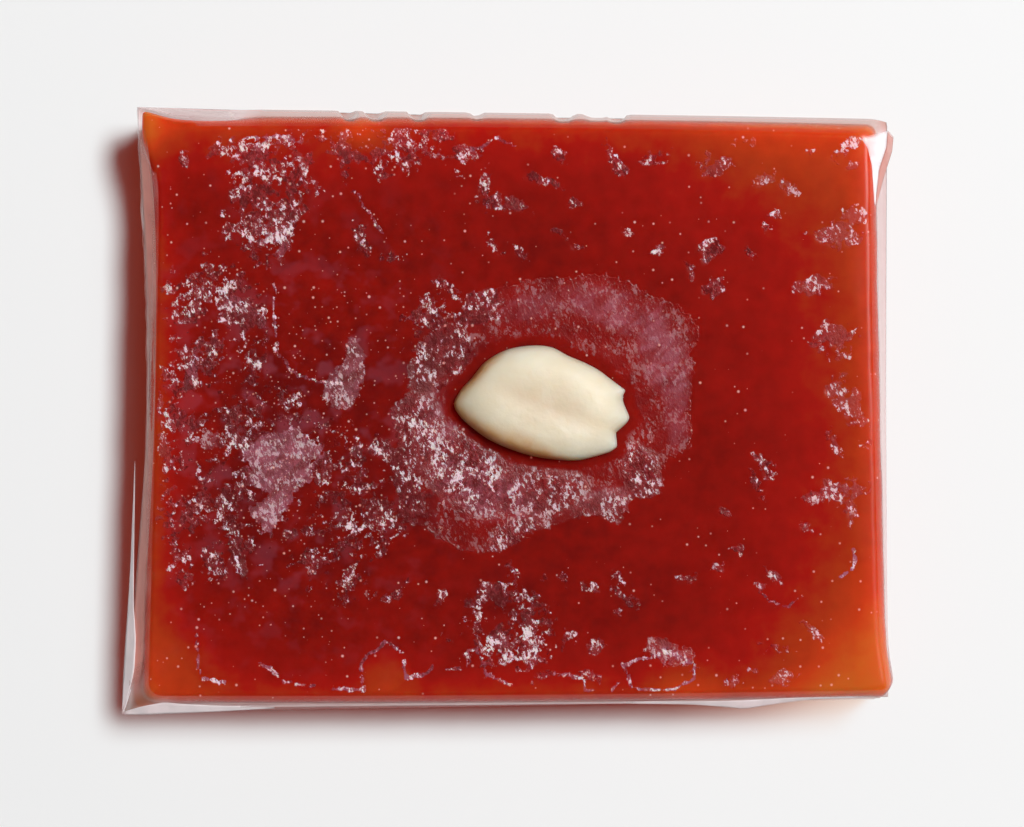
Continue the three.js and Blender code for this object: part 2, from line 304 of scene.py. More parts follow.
# %% [markdown]
# ## The almond's outline
# The almond is half buried, so the jelly needs its outline too, for the dent that it lies in.
# It is drawn as a loop of points round the kernel's middle. The left end is the pointed tip.
# The right end broke off in small steps. A smooth curve joins the points.

# %% Outline of the kernel
ALMOND_AT = np.array([4.1, 0.8])
KERNEL = [
    (-10.3, 0.0), (-9.5, 1.6), (-8.3, 2.9), (-6.6, 4.9), (-4.1, 6.3), (-1.2, 6.8), (1.1, 6.6),
    (3.1, 5.6), (5.0, 4.8), (6.7, 3.9), (7.9, 3.0), (9.1, 2.1), (9.75, 1.6), (9.8, 1.4),
    (9.55, 0.8), (9.65, 0.0), (10.2, -1.3), (10.27, -1.8), (9.9, -2.4), (8.9, -3.3),
    (8.75, -3.5), (8.85, -4.8), (8.75, -5.2), (7.9, -5.75), (6.1, -6.3), (4.0, -6.7),
    (0.5, -6.5), (-2.6, -5.8), (-6.0, -4.4), (-8.3, -2.8), (-9.8, -1.3),
]


def smooth_loop(points, steps=12):
    """A closed smooth curve through points."""
    points = np.array(points, float)
    a, b, c, d = (np.roll(points, shift, axis=0) for shift in (1, 0, -1, -2))
    curve = []
    for t in np.arange(steps) / steps:
        curve.append(0.5 * (2 * b + (c - a) * t + (2 * a - 5 * b + 4 * c - d) * t ** 2
                            + (3 * b - a - 3 * c + d) * t ** 3))
    return np.stack(curve, axis=1).reshape(-1, points.shape[1])


kernel_curve = smooth_loop(KERNEL)
kernel_angles = np.arctan2(kernel_curve[:, 1], kernel_curve[:, 0])
kernel_reach = np.hypot(kernel_curve[:, 0], kernel_curve[:, 1])
order = np.argsort(kernel_angles)
kernel_angles, kernel_reach = kernel_angles[order], kernel_reach[order]


def kernel_radius(angle):
    """How far the kernel reaches from its middle in a direction."""
    return np.interp(angle, kernel_angles, kernel_reach, period=2 * math.pi)


def from_kernel(place):
    """How far places on the plan lie outside the kernel's outline, in millimetres."""
    away = place - ALMOND_AT
    angle = np.arctan2(away[:, 1], away[:, 0])
    return np.hypot(away[:, 0], away[:, 1]) - kernel_radius(angle)


print("kernel, mm:", np.ptp(kernel_curve, axis=0).round(1))

# %% [markdown]
# ## Where the air is
# Most of the film clings wetly to the jelly, and there it vanishes. Where air is caught under it,
# the jelly's own rough skin shows, with a pink sheen and tiny glints painted on it. Each pocket
# of air is a stretched circle with a place, two half sizes and a turn. The last two numbers say
# how full of air it is and how much it sparkles: a rougher relief and painted glints. Noise then
# tears their edges.

# %% Air pockets: x, y, half length, half width, turn in degrees, fullness, sparkle
AIR_POCKETS = [
    # Wide patches of broken air on the left.
    (-34, 9.5, 6.6, 7.4, 0, 0.52, 1), (-27.5, -1.5, 8, 5, -20, 0.46, 1),
    (-33, -11.5, 7.5, 6.2, 0, 0.46, 1), (-15.6, -9.6, 5.4, 7, 10, 0.46, 1),
    (-27.6, 25.6, 4.6, 7.4, -12, 0.60, 1), (-18, -17, 6, 4.6, 0, 0.36, 1),
    (-38.6, 0, 2.6, 9, 0, 0.42, 1), (-14.5, 30.6, 6, 2.2, 0, 0.45, 1), (0.5, -25.5, 6, 4.6, 0, 0.40, 1),
    (-8, 9, 3.5, 4.5, 0, 0.5, 1),
    # The left back quarter.
    (-29.9, 30, 3.4, 1.5, -20, 0.8, 1), (-28.2, 27, 1.5, 0.6, 90, 1, 1),
    (-28.8, 22, 4, 2.6, 15, 0.8, 0.9), (-24, 26.9, 1.9, 0.9, -15, 0.8, 0.8),
    (-26.5, 18.7, 1.4, 0.7, 80, 1, 0.3), (-38, 29.1, 1, 0.5, 100, 0.9, 0.9),
    (-34.4, 30.7, 1.2, 0.5, 65, 0.9, 0.9), (-19.2, 30.6, 2.8, 0.8, 95, 0.8, 1),
    (-25.7, 31.8, 0.9, 0.8, 0, 1, 1), (-23, 32.3, 1.3, 0.6, 0, 0.7, 0.9),
    (-17.1, 20.2, 1.7, 0.9, 105, 1, 1), (-14.4, 27.8, 0.8, 0.4, 0, 1, 0.9),
    (-13.5, 18.1, 1.1, 0.3, 5, 1, 0.9), (-12.1, 31.7, 2.4, 1.3, 95, 0.75, 1),
    (-8.8, 32.5, 1.9, 1, 0, 0.7, 1), (-4.9, 30.3, 1.7, 1, 0, 1, 1), (-2.4, 26.3, 2.1, 0.7, 95, 1, 1),
    (-0.2, 24.4, 2.2, 0.9, -10, 0.9, 0.7), (-6, 27.8, 0.5, 0.4, 0, 1, 0.9),
    (-7.1, 14.7, 1.9, 0.5, -45, 1, 1), (-1.5, 19.3, 1.1, 0.3, -50, 1, 0.9),
    (-3.1, 12.3, 2.1, 1.6, 0, 1, 1),
    # The left side, broken up.
    (-34.5, 9.5, 6.3, 6, 0, 0.42, 0.8), (-30.8, 11.8, 4, 1.2, -35, 0.9, 0.25),
    (-37.1, 4, 2.2, 1.1, 75, 1, 1), (-36.2, 7.4, 1.4, 0.6, 70, 1, 1),
    (-34.3, -2.6, 5.4, 2.6, 0, 0.62, 0.35), (-21.4, -5.3, 4.4, 2, 95, 0.55, 0.9),
    (-40.3, -4.7, 2.9, 0.6, 92, 0.8, 1), (-33.5, -8, 3.2, 3.2, 0, 0.55, 0.8),
    (-38.4, -11.2, 2.4, 2, 0, 0.5, 0.9), (-38.5, -17.4, 3.4, 1.6, 110, 0.5, 0.9),
    (-31.4, -18.1, 2, 0.9, 110, 0.85, 0.5), (-34.4, -18.5, 1.4, 1.1, 0, 0.8, 0.8),
    (-25.5, -14.6, 1, 0.6, 0, 1, 0.9), (-23.1, -14.4, 0.8, 0.5, 0, 1, 0.2),
    (-23.5, -17.2, 1.2, 0.5, 50, 1, 0.4), (-20.5, -11, 2.6, 1.8, 60, 0.5, 0.8),
    (-18.8, -20.4, 1.8, 0.8, 70, 0.7, 0.9), (-14.4, -13.9, 2.2, 1.9, 0, 0.8, 1),
    (-15.5, -20, 3.4, 2.8, 0, 0.36, 0.8), (-17.6, -9, 1.4, 0.8, 0, 0.8, 0.9),
    (-22.6, -1.2, 2.6, 1.2, -40, 0.55, 0.9),
    # The right back quarter.
    (4.4, 26.9, 2.1, 0.6, -18, 1, 1), (5.9, 30, 0.9, 0.6, -60, 0.9, 0.9),
    (6.2, 21.1, 0.9, 0.4, -30, 1, 0.9), (7.7, 24.3, 0.6, 0.5, 0, 1, 0.9),
    (1.5, 18.6, 1.1, 0.4, -45, 1, 1), (8.3, 19.1, 0.7, 0.3, -20, 1, 0.8),
    (12.9, 29, 2.2, 0.6, -62, 1, 1), (17.5, 29.7, 1.8, 0.8, 10, 0.5, 0.8),
    (24.6, 28.6, 1.8, 0.9, -10, 1, 1), (28.2, 31.4, 1.3, 0.5, 0, 0.6, 0.2),
    (35.5, 30.7, 0.7, 0.5, 0, 1, 0.7), (40.6, 31.7, 1.9, 0.7, 45, 1, 0.9),
    (40.4, 28.7, 0.8, 0.7, 0, 1, 1), (30.2, 26.9, 1.3, 0.5, 30, 0.9, 0.6),
    (33.5, 26.1, 1.5, 0.5, -30, 0.9, 0.6), (38.8, 20.7, 2.7, 1.3, -5, 0.95, 0.9),
    (40.8, 23.1, 1.3, 1.2, 0, 0.8, 0.8), (35.9, 14.8, 2.1, 1, 20, 0.95, 0.8),
    (24, 18.8, 1.3, 1.1, 40, 1, 1), (17.5, 19, 0.8, 0.5, 0, 1, 1), (24.6, 14.4, 1, 0.9, 0, 0.9, 1),
    (30.5, 21.4, 0.7, 0.3, -60, 1, 1), (31.8, 23.1, 0.6, 0.5, 0, 1, 1),
    (28.4, 18.8, 0.7, 0.3, -40, 1, 1), (21.6, 16.2, 0.7, 0.3, -70, 1, 1),
    (14, 20.9, 0.6, 0.5, 0, 1, 0.9),
    # The right side and the right front quarter.
    (38.3, 8.2, 2.6, 2, -30, 0.62, 0.8), (40.2, 1.4, 2.8, 1.5, -50, 0.72, 0.8),
    (41.8, -1.6, 0.9, 0.5, 0, 1, 0.9), (38.5, -3.9, 1.4, 0.5, -70, 0.9, 0.8),
    (42.8, -3.8, 0.7, 0.3, 30, 1, 0.9), (30.2, -6, 1.2, 0.5, -20, 1, 1),
    (30.6, -7.3, 0.9, 0.4, -30, 1, 1), (29.2, -8.5, 1.2, 0.3, -65, 1, 1),
    (39.2, -9.4, 2.7, 1.2, 5, 0.95, 0.8), (40.3, -11.9, 1.5, 0.8, 100, 0.95, 0.8),
    (36.3, -10.4, 0.9, 0.6, 0, 1, 0.5), (35.1, -13.6, 0.8, 0.5, -20, 1, 0.7),
    (31.5, -19.4, 1.2, 0.6, -20, 0.9, 0.8), (30, -20.7, 0.7, 0.5, 0, 1, 0.8),
    (36, -26, 1.4, 0.5, -45, 0.9, 0.8), (26.6, -32, 1, 0.6, 0, 0.8, 0.8),
    (28.9, -30.6, 0.7, 0.5, 0, 1, 0.6), (32.5, -31.6, 1.7, 0.6, 5, 0.9, 0.7),
    (31.2, -28, 1.7, 0.7, -10, 0.6, 0.9), (27, -16.4, 0.7, 0.6, 0, 1, 1),
    (24.9, -18.2, 0.5, 0.5, 0, 1, 0.6), (25.6, -12, 0.6, 0.5, 0, 1, 0.6),
    # Along the front.
    (-0.8, -21.6, 3.2, 1.2, 0, 0.8, 0.7), (-3.4, -25.4, 2.5, 0.4, 90, 1, 0.6),
    (-0.9, -28.3, 2.4, 1.8, 90, 0.85, 0.35), (3, -27.9, 2.3, 1.6, 85, 1, 1),
    (2.6, -25.2, 1.3, 0.5, 90, 1, 0.9), (4.2, -31.3, 0.9, 0.4, 10, 1, 1),
    (7.5, -26.6, 0.8, 0.5, 0, 0.9, 0.9), (10.3, -28, 0.8, 0.7, 60, 0.9, 0.9),
    (9.9, -31.4, 1.1, 0.9, 0, 0.8, 0.9), (19.2, -28.5, 2.8, 1.2, -22, 0.8, 0.4),
    (-7.8, -21.8, 1.1, 0.5, 80, 1, 1), (0.9, -18.9, 1, 0.3, -45, 1, 1), (4.3, -19.7, 0.5, 0.4, 0, 1, 1),
    (6.5, -19.6, 0.7, 0.5, -40, 1, 0.9), (9.8, -20.9, 1.2, 0.7, -20, 0.9, 1),
    (13.1, -19.7, 0.9, 0.6, -50, 1, 1), (13.7, -22, 2, 0.6, -35, 0.8, 1),
    (13.1, -23.8, 0.5, 0.3, 0, 1, 0.9), (21, -19.8, 0.9, 0.3, 15, 1, 0.8),
]
print("air pockets:", len(AIR_POCKETS))

# %% [markdown]
# The widest pocket rings the almond, which holds the film up like a tent pole. It is drawn as a
# loop. Inside it, only some places get painted glints, and close round the almond the jelly has
# pulled wet against the film, so nothing does. Thin bright lines are the rims of flat bubbles,
# with glints and sheen painted along them, and a few smooth round lenses are places where the
# film clings again.

# %% The ring round the almond, rims and clear lenses
ALMOND_RING = [
    (-2.8, 14.1), (2.6, 15.4), (8.9, 16), (13.2, 15.5), (17.2, 13.3), (20, 12.4), (21.9, 10.8),
    (22.2, 8.8), (21.5, 6.8), (22.2, 5.4), (21.8, 2.8), (21.5, -1.2), (21.3, -4.9), (18.6, -5.7),
    (18.4, -8.6), (17.5, -10.6), (14.9, -10.3), (13.2, -13.4), (11.2, -12.3), (6, -13.1), (2.6, -14.4),
    (-1.4, -16.9), (-5.4, -16.3), (-8.2, -14.6), (-12.5, -13), (-13.8, -5.7), (-13, -4), (-13.6, 0),
    (-11.6, 2.8), (-11.4, 5.4), (-10, 8), (-7.6, 10.8), (-4.5, 12.2),
]
# Two more pockets with outlines of their own: a dry flake and a crescent.
FLAKE = [
    (-30.8, -5), (-29.8, -4), (-28.8, -3.2), (-26.3, -2.8), (-25.1, -2), (-24.3, -2.2), (-24.1, -3.2),
    (-22, -4), (-21.4, -4.4), (-21.8, -5.4), (-23.1, -6.1), (-22.7, -7.7), (-23.3, -8.5), (-24.5, -9.3),
    (-25.7, -10.9), (-26.3, -12.6), (-27.9, -14.4), (-28.8, -14.2), (-28.6, -13.4), (-30.4, -12.2),
    (-29.8, -11.3), (-28.6, -10.5), (-27.9, -9.9), (-28.8, -9.4), (-29.8, -8.5), (-30.4, -6.5),
]
CRESCENT = [
    (-19.8, 11.3), (-19.2, 10.3), (-18.6, 8.8), (-17.6, 8.4), (-16.7, 7), (-16.7, 4.5), (-17.4, 2.1),
    (-18.4, 0.5), (-19.8, 0.1), (-21, 0.9), (-21.8, 2.1), (-20.4, 5), (-19.2, 6.6), (-18.9, 8.6),
]
# Loop, sparkle, haze.
AIR_LOOPS = [(FLAKE, 0.50, 1.5), (CRESCENT, 0.55, 0.9)]
# Sparkling places: x, y, half length, half width, turn, sparkle.
RING_SPARKLES = [
    (-10.5, -2.2, 5, 3.2, 100, 1), (-4.8, -7.6, 6.4, 4.2, -35, 1), (3.5, -9.6, 6, 3, 0, 0.85),
    (15.8, -8, 4.4, 2.4, 115, 0.95), (-9, 5.4, 3.8, 2.4, 60, 0.8), (-3, 12.2, 2.2, 1.7, 0, 0.9),
    (1, -14.6, 4.4, 2, 30, 0.8), (11.5, -11.4, 4.4, 1.8, 10, 0.7),
]
# Smooth haze, painted as a pink sheen: x, y, half length, half width, turn, haze.
HAZE_PATCHES = [
    (18.3, 6.6, 6, 2.8, -68, 0.95), (12.5, 11.6, 6.6, 2.2, -22, 0.8), (20, 0, 5, 1.5, 90, 0.6),
    (-3, -9, 8, 3.6, -25, 0.95), (3, 12, 5, 1.8, 5, 0.45), (-8.5, -2.5, 5, 2.8, 100, 0.8),
    (-30.8, 11.8, 4, 1.2, -35, 0.9), (-35, 9, 4.5, 5, 0, 0.5), (-37.1, 4, 2.2, 1.1, 75, 0.9),
    (-28, 20.6, 3, 1.6, 30, 0.8), (-28.6, 31.2, 2.6, 1.1, -10, 0.8), (-26.5, 18.7, 1.4, 0.7, 80, 0.8),
    (-34.3, -2.6, 5.4, 2.6, 0, 0.4), (-1, -28, 2.6, 1.6, 90, 0.7), (39.2, -9.4, 2.4, 1, 5, 0.45),
    (38.8, 20.7, 2.4, 1, -5, 0.35), (19.2, -28.5, 2.8, 1.2, -22, 0.3), (11.5, -10.6, 4, 1.6, 10, 0.5),
]
# Clear lenses: x, y, half length, half width, turn.
CLEAR_LENSES = [
    (-23.4, 10.4, 6.9, 4.9, 100), (-36.2, 0.9, 2.7, 1.2, 0), (-14.3, -30.6, 3, 2.4, 20),
]
# Rims of bubbles, with painted glints and sheen, each a line of points, and half their width.
RIMS = [
    [(-36.6, -26.4), (-36, -32), (-33.2, -32)],
    [(-29.1, -29.3), (-26.9, -31.3), (-23.7, -32.5), (-23.1, -32.3)],
    [(-20.2, -32.5), (-16.8, -33.3), (-17.2, -30.4), (-16.3, -28.6), (-14.1, -27.3), (-12.4, -28.4)],
    [(-12.4, -29.4), (-12.1, -31.4), (-9.8, -31.2), (-8.8, -30)],
    [(-6.8, -30.4), (-4.7, -30.4), (-4.7, -28.4), (-3.4, -28.4), (-2.6, -31.2), (0.2, -32.2)],
    [(5.5, -31), (8.9, -31.7), (9, -33.2), (11.6, -33.6), (13.2, -32)],
    [(13.6, -30.2), (16.4, -29), (19, -28.4), (21.6, -30), (22, -32), (18.4, -33),
     (14.6, -32.4), (13.6, -30.2)],
    [(30.2, -21.7), (32.2, -22.9), (33.3, -23.2), (34.6, -21.8)],
    [(39.2, -19.6), (40.9, -18.4), (40.9, -16.5)],
    [(-27.4, 14.8), (-27.3, 10.8), (-27.1, 6.7), (-25.4, 4.7), (-22.4, 3), (-19.6, 3.4)],
    [(-4, 30.8), (-1.6, 31.9), (1, 31.2)],
    [(-18, 25.6), (-16.2, 23.4), (-14.8, 20.8)],
    [(-31, 31.8), (-27, 32.5), (-24, 31.8)],
]
RIM_WIDTH = 0.17
# How wide the wet line round the almond is.
MOAT = 1.0
print("rims:", len(RIMS))


# %% How far inside each pocket a place lies
def in_ellipse(place, x, y, half_long, half_wide, turn):
    """1 at the middle of a turned ellipse, 0 on its edge and below 0 outside."""
    away = place - (x, y)
    c, s = math.cos(math.radians(turn)), math.sin(math.radians(turn))
    along = (away[:, 0] * c + away[:, 1] * s) / half_long
    across = (away[:, 1] * c - away[:, 0] * s) / half_wide
    return 1 - np.hypot(along, across)


def to_line(place, line):
    """Distance from each place to a line of points."""
    nearest = np.full(len(place), 1e9)
    for start, end in zip(line[:-1], line[1:]):
        start, end = np.array(start), np.array(end)
        step = end - start
        share = np.clip(((place - start) @ step) / max(step @ step, 1e-9), 0, 1)
        nearest = np.minimum(nearest, np.hypot(*(place - start - share[:, None] * step).T))
    return nearest


def in_loop(place, loop):
    """Distance inside a closed loop, and below 0 outside."""
    inside = np.zeros(len(place), bool)
    for (x0, y0), (x1, y1) in zip(loop, loop[1:] + loop[:1]):
        crosses = (y0 > place[:, 1]) != (y1 > place[:, 1])
        at = x0 + (place[:, 1] - y0) / ((y1 - y0) or 1e-9) * (x1 - x0)
        inside ^= crosses & (place[:, 0] < at)
    distance = to_line(place, loop + loop[:1])
    return np.where(inside, distance, -distance)


def air_fields(place):
    """For each place: how far inside the air it lies in millimetres, its sparkle and its haze."""
    torn = 0.6 * cloudy(place, 1.6, 2, seed=1) + 0.4 * cloudy(place, 0.7, 2, seed=2)
    broken = 0.5 + 0.40 * cloudy(place, 0.9, 3, seed=3) + 0.55 * cloudy(place, 2.6, 3, seed=15)
    warp = np.column_stack([cloudy(place, 2.6, 2, seed=4), cloudy(place, 2.6, 2, seed=5)])
    bent = place + 0.5 * warp
    depth = in_loop(bent, ALMOND_RING) + 0.3 * torn
    sparkle = np.where(depth > -0.5, 0.15, 0.0)
    haze = np.zeros(len(place))
    for *shape, amount in RING_SPARKLES:
        inside = in_ellipse(bent, *shape)
        sparkle = np.maximum(sparkle, amount * np.clip(1.6 * inside + 0.35, 0, 1))
    for *shape, amount in HAZE_PATCHES:
        inside = in_ellipse(bent, *shape) + 0.25 * torn
        haze = np.maximum(haze, amount * np.clip(1.8 * inside + 0.3, 0, 1))
    for x, y, half_long, half_wide, turn, full, amount in AIR_POCKETS:
        inside = in_ellipse(bent, x, y, half_long, half_wide, turn)
        own = (inside + 0.85 * torn) * half_wide
        if full < 1:
            own = np.minimum(own, (broken - (1 - full)) * 1.2 - 0.05)
        close_by = own > -0.6
        depth = np.maximum(depth, own)
        sparkle = np.where(close_by, np.maximum(sparkle, amount), sparkle)
    for loop, amount, mist in AIR_LOOPS:
        own = in_loop(place + 0.15 * warp, loop) + 0.12 * torn
        depth = np.maximum(depth, own)
        sparkle = np.where(own > -0.2, amount, sparkle)
        haze = np.where(own > -0.3, np.maximum(haze, mist), haze)
    for lens in CLEAR_LENSES:
        depth = np.minimum(depth, -in_ellipse(bent, *lens) * lens[3])
    for rim in RIMS:
        own = 2.5 * (RIM_WIDTH - to_line(bent, rim)) + 0.06 * torn
        depth = np.maximum(depth, own)
        sparkle = np.where(own > -0.3, 1.0, sparkle)
        haze = np.where(own > -0.3, 1.5, haze)
    dry = np.clip((from_kernel(place) - MOAT + 0.5 * torn) / 0.6, 0, 1)
    return depth, sparkle * dry, haze * dry


# %% [markdown]
# ## The jelly
# The slab starts as a flat grid for its top. Its border is extruded down in steps for the sides,
# and the last loop is filled for the underside. Then each point is moved to its place on the
# plan, the edges are rounded, and the top gets its relief: broad dips, the almond's dent, and a
# rough skin wherever there is air. A grid of 0.3 mm is fine enough to hold the roughness.

# %% Values for the jelly, in millimetres
JELLY_CELLS = (290, 230)
# From the top edge down: how far inside the plan, and how high.
JELLY_SIDE = [(0.78, 11.97), (0.5, 11.84), (0.28, 11.62), (0.12, 11.3), (0.03, 10.8), (0.0, 9.6),
              (0.04, 7.8), (0.0, 5.8), (0.02, 4.0), (0.1, 2.4), (0.45, 1.2), (1.2, 0.7)]
JELLY_EDGE = 1.15
CORNER_ROUND = 1.3
DENT = 1.2


# %% Edit-mode helpers
def grid(name, cells_long, cells_wide):
    """A new flat grid from -1 to 1 each way, with nothing else selected."""
    bpy.ops.object.select_all(action="DESELECT")
    bpy.ops.mesh.primitive_grid_add(x_subdivisions=cells_long, y_subdivisions=cells_wide, size=2)
    made = bpy.context.object
    made.name = made.data.name = name
    return made


def extrude_border(piece, steps):
    """Extrudes a grid's border down by 1 so many times, and fills the last loop."""
    bpy.ops.object.mode_set(mode="EDIT")
    bpy.ops.mesh.select_mode(type="EDGE")
    bpy.ops.mesh.select_all(action="DESELECT")
    bpy.ops.mesh.select_non_manifold()
    for _ in range(steps):
        bpy.ops.mesh.extrude_region_move(TRANSFORM_OT_translate={"value": (0, 0, -1)})
    bpy.ops.mesh.edge_face_add()
    bpy.ops.mesh.select_all(action="SELECT")
    bpy.ops.mesh.normals_make_consistent(inside=False)
    bpy.ops.object.mode_set(mode="OBJECT")
    print(piece.name, "points:", len(piece.data.vertices))


def get_points(piece):
    """A piece's points as an array."""
    points = np.empty(len(piece.data.vertices) * 3)
    piece.data.vertices.foreach_get("co", points)
    return points.reshape(-1, 3)


def put_points(piece, points_mm):
    """Moves a piece's points to places in millimetres."""
    piece.data.vertices.foreach_set("co", (points_mm * MM).ravel())
    piece.data.update()


def put_attribute(piece, name, values):
    """Keeps a number at each point, for the material."""
    made = piece.data.attributes.new(name, "FLOAT", "POINT")
    made.data.foreach_set("value", np.asarray(values, np.float32))


def hand_over(piece, stands_for, material):
    """Gives a finished piece its material and its body, and hides the CAD node that it stands for."""
    piece.data.materials.clear()
    piece.data.materials.append(material)
    piece.data.shade_smooth()
    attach(piece, next(iter(frame["bodies"])))
    if stands_for:
        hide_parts(stands_for)
    print(piece.name, "triangles:", sum(len(p.vertices) - 2 for p in piece.data.polygons))


# %% Model the jelly
jelly = grid("quince_jelly", *JELLY_CELLS)
extrude_border(jelly, len(JELLY_SIDE))
unit = get_points(jelly)
level = np.rint(-unit[:, 2]).astype(int)
side = np.array([(JELLY_EDGE, JELLY_TOP)] + JELLY_SIDE)[level]
u, v = unit[:, 0], unit[:, 1]
place = slab_point(u, v, side[:, 0], side[:, 1], CORNER_ROUND)
air, sparkle, haze = air_fields(place)
on_top = level == 0
edge_away = np.minimum((1 - np.abs(u)) * HALF_LONG, (1 - np.abs(v)) * HALF_WIDE)


# %% Relief of the jelly
def jelly_relief(place, air, sparkle):
    """Height of the jelly's top above its mean, in millimetres."""
    broad = 0.10 * cloudy(place, 11.0, 2, seed=6)
    inside = np.clip(air / 0.35 + 0.5, 0, 1)
    rough = 0.05 * cloudy(place, 1.0, 2, seed=7) + 0.04 * cloudy(place, 2.2, 2, seed=8)
    beyond = from_kernel(place)
    dent = -DENT * np.clip(-(beyond + 0.35) / 0.8, 0, 1)
    lip = 0.02 * near(beyond - 0.2, 0.9)
    return broad + inside * (rough * (0.15 + sparkle) - 0.05) + dent + lip


relief = jelly_relief(place, air, sparkle) * np.clip((edge_away - 0.6) / 2.0, 0, 1)
wobble = 0.13 * cloudy(np.column_stack([place, side[:, 1]]), 6.0, 3, seed=9)
outward = place - place.mean(axis=0)
outward /= np.maximum(np.hypot(outward[:, 0], outward[:, 1]), 1e-6)[:, None]
place = place + np.where(on_top, 0, wobble)[:, None] * outward
put_points(jelly, np.column_stack([place, side[:, 1] + np.where(on_top, relief, 0)]))

# %% [markdown]
# ## Why the jelly isn't one red
# Light soaks into the jelly and comes back red. Near the edges it finds a short way in from the
# side, so the jelly turns orange there, most of all on the right, which faces the light. This
# glow is painted into the colour by a number at each point, called warmth, which also holds the
# jelly's own uneven tone. More numbers go with it: where there is air, sparkle and haze, where
# fine glints and a faint sheen are painted, where the edge is worn, and where the slab is thin
# enough to let light through to the paper, so that its shadow there is pale.

# %% Warmth of the jelly
# Each side's strength and reach in millimetres.
WARM_SIDES = {"right": (0.52, 9.0), "left": (0.42, 3.0), "back": (0.31, 6.0), "front": (0.32, 3.2)}
# Warm spots, and one cool one: x, y, reach, strength.
WARM_SPOTS = [
    (44.0, -33.0, 11.0, 0.55), (-43.0, 33.0, 3.0, 0.50), (-34.0, 30.0, 13.0, 0.08),
    (-42.5, 26.5, 8.5, -0.30), (-38.5, -29.5, 4.5, 0.22), (21.0, -33.0, 4.0, 0.30),
    (-17.0, 33.0, 2.5, 0.35), (-14.3, -31.5, 3.0, 0.25), (30.0, 34.0, 12.0, 0.20),
]
LENS_WARMTH = 0.06


def warmth(place, u, v):
    """How orange the jelly is at a place, from 0 to about 1: painted glow of light near its sides, and
    its own tone.
    """
    total = np.zeros(len(place))
    for name, away in from_sides(u, v).items():
        strength, reach = WARM_SIDES[name]
        total += strength * np.exp(-away / reach)
    for x, y, reach, strength in WARM_SPOTS:
        total += strength * near(np.hypot(*(place - (x, y)).T), reach)
    for lens in CLEAR_LENSES:
        total += LENS_WARMTH * (in_ellipse(place, *lens) > 0)
    return total + 0.07 * cloudy(place, 9.0, 3, seed=10) + 0.03 * cloudy(place, 2.2, 2, seed=11)


# %% Numbers for the jelly's material
# Where fine glints and a faint pink sheen are painted: its middle and its reaches.
FINE_GLINTS_AT, FINE_GLINTS_REACH = (-26.0, -2.0), (15.0, 20.0)
THIN_AT, THIN_REACH = (46.0, -38.0), 15.0
WORN_REACH, FLANK_REACH = 1.5, 2.0

away = from_sides(u, v)
flank = 0.2 * near(away["back"], FLANK_REACH) - 0.1 * near(away["right"], FLANK_REACH)
fine_glint_field = near(place[:, 0] - FINE_GLINTS_AT[0], FINE_GLINTS_REACH[0]) * near(place[:, 1] - FINE_GLINTS_AT[1], FINE_GLINTS_REACH[1])
thin = 1.1 * near(np.hypot(*(place - THIN_AT).T), THIN_REACH)
put_attribute(jelly, "air", np.clip(0.5 + air, 0, 1) * on_top)
put_attribute(jelly, "sparkle", sparkle)
put_attribute(jelly, "haze", haze)
put_attribute(jelly, "warmth", warmth(place, u, v) + flank * (level > 2) - 0.09 * fine_glint_field)
put_attribute(jelly, "thin", np.clip(thin, 0, 1))
put_attribute(jelly, "fine_glints", fine_glint_field * on_top)
put_attribute(jelly, "worn_edge", near(away["right"], WORN_REACH))
print("share of the top with air under the film:", round(float((air[on_top] > 0).mean()), 2))

# %% [markdown]
# ## The jelly's material
# The Principled shader with its subsurface turned up lets light wander inside, furthest for red.
# Under the air the surface is rough. Haze is its sheen, painted into the colour as a soft pink
# cover with faint streaks. Sparkle is painted light and shade: pale glints with painted shade in
# the hollows between them, over a fine bump, because glints this small would need millions of
# faces. Noise gives the grains, and Voronoi cells break them into facets. Tiny bubbles use
# Voronoi cells too: more than half of them hold a round pale speck, a painted glint.
#
# Light Path tells what a ray of light is for. Only rays from the camera and mirror rays need the
# whole jelly. A ray that left a matt surface meets plain matt red, and one that is on its way
# from the paper to a lamp passes through, tinted red. That keeps the picture quick to make.

# %% Jelly colours
# From the middle of the slab to its lit corner, where the glow of light is painted: a place on
# the scale of warmth, and its colour.
JELLY_COLOURS = [
    (0.00, (0.175, 0.0055, 0.0045, 1)), (0.10, (0.255, 0.0072, 0.0045, 1)),
    (0.32, (0.400, 0.0100, 0.0060, 1)), (0.50, (0.440, 0.0400, 0.0080, 1)),
    (0.73, (0.580, 0.0560, 0.0100, 1)), (1.00, (0.610, 0.1250, 0.0160, 1)),
]
# Painted light and shade: the pink sheen of haze, pale glints, and shade in the hollows.
PAINTED_SHEEN_PINK, PAINTED_GLINT, PAINTED_HOLLOW_SHADE = (0.44, 0.12, 0.18, 1), (0.90, 0.74, 0.78, 1), (0.13, 0.005, 0.005, 1)
SPECK_GLINT = (0.90, 0.46, 0.40, 1)
# How each pattern is turned, and how large it is in metres.
STREAKS = {"Rotation": (0, 0, 0.70), "Scale": (0.0030, 0.0011, 0.002)}
GRAINS = {"Rotation": (0, 0, 1.9), "Scale": (0.0007, 0.00045, 0.0006)}
# Bubbles in each metre, and their size as a share of a cell.
# The second pair is for the fine painted glints.
BUBBLES, FINE_GLINTS = (900.0, 0.19), (2300.0, 0.34)
BUBBLE_SHARE = 0.62
BOUNCE = (0.14, 0.02, 0.01, 1)
THROUGH, THROUGH_THIN = (0.42, 0.10, 0.035, 1), (0.97, 0.88, 0.82, 1)


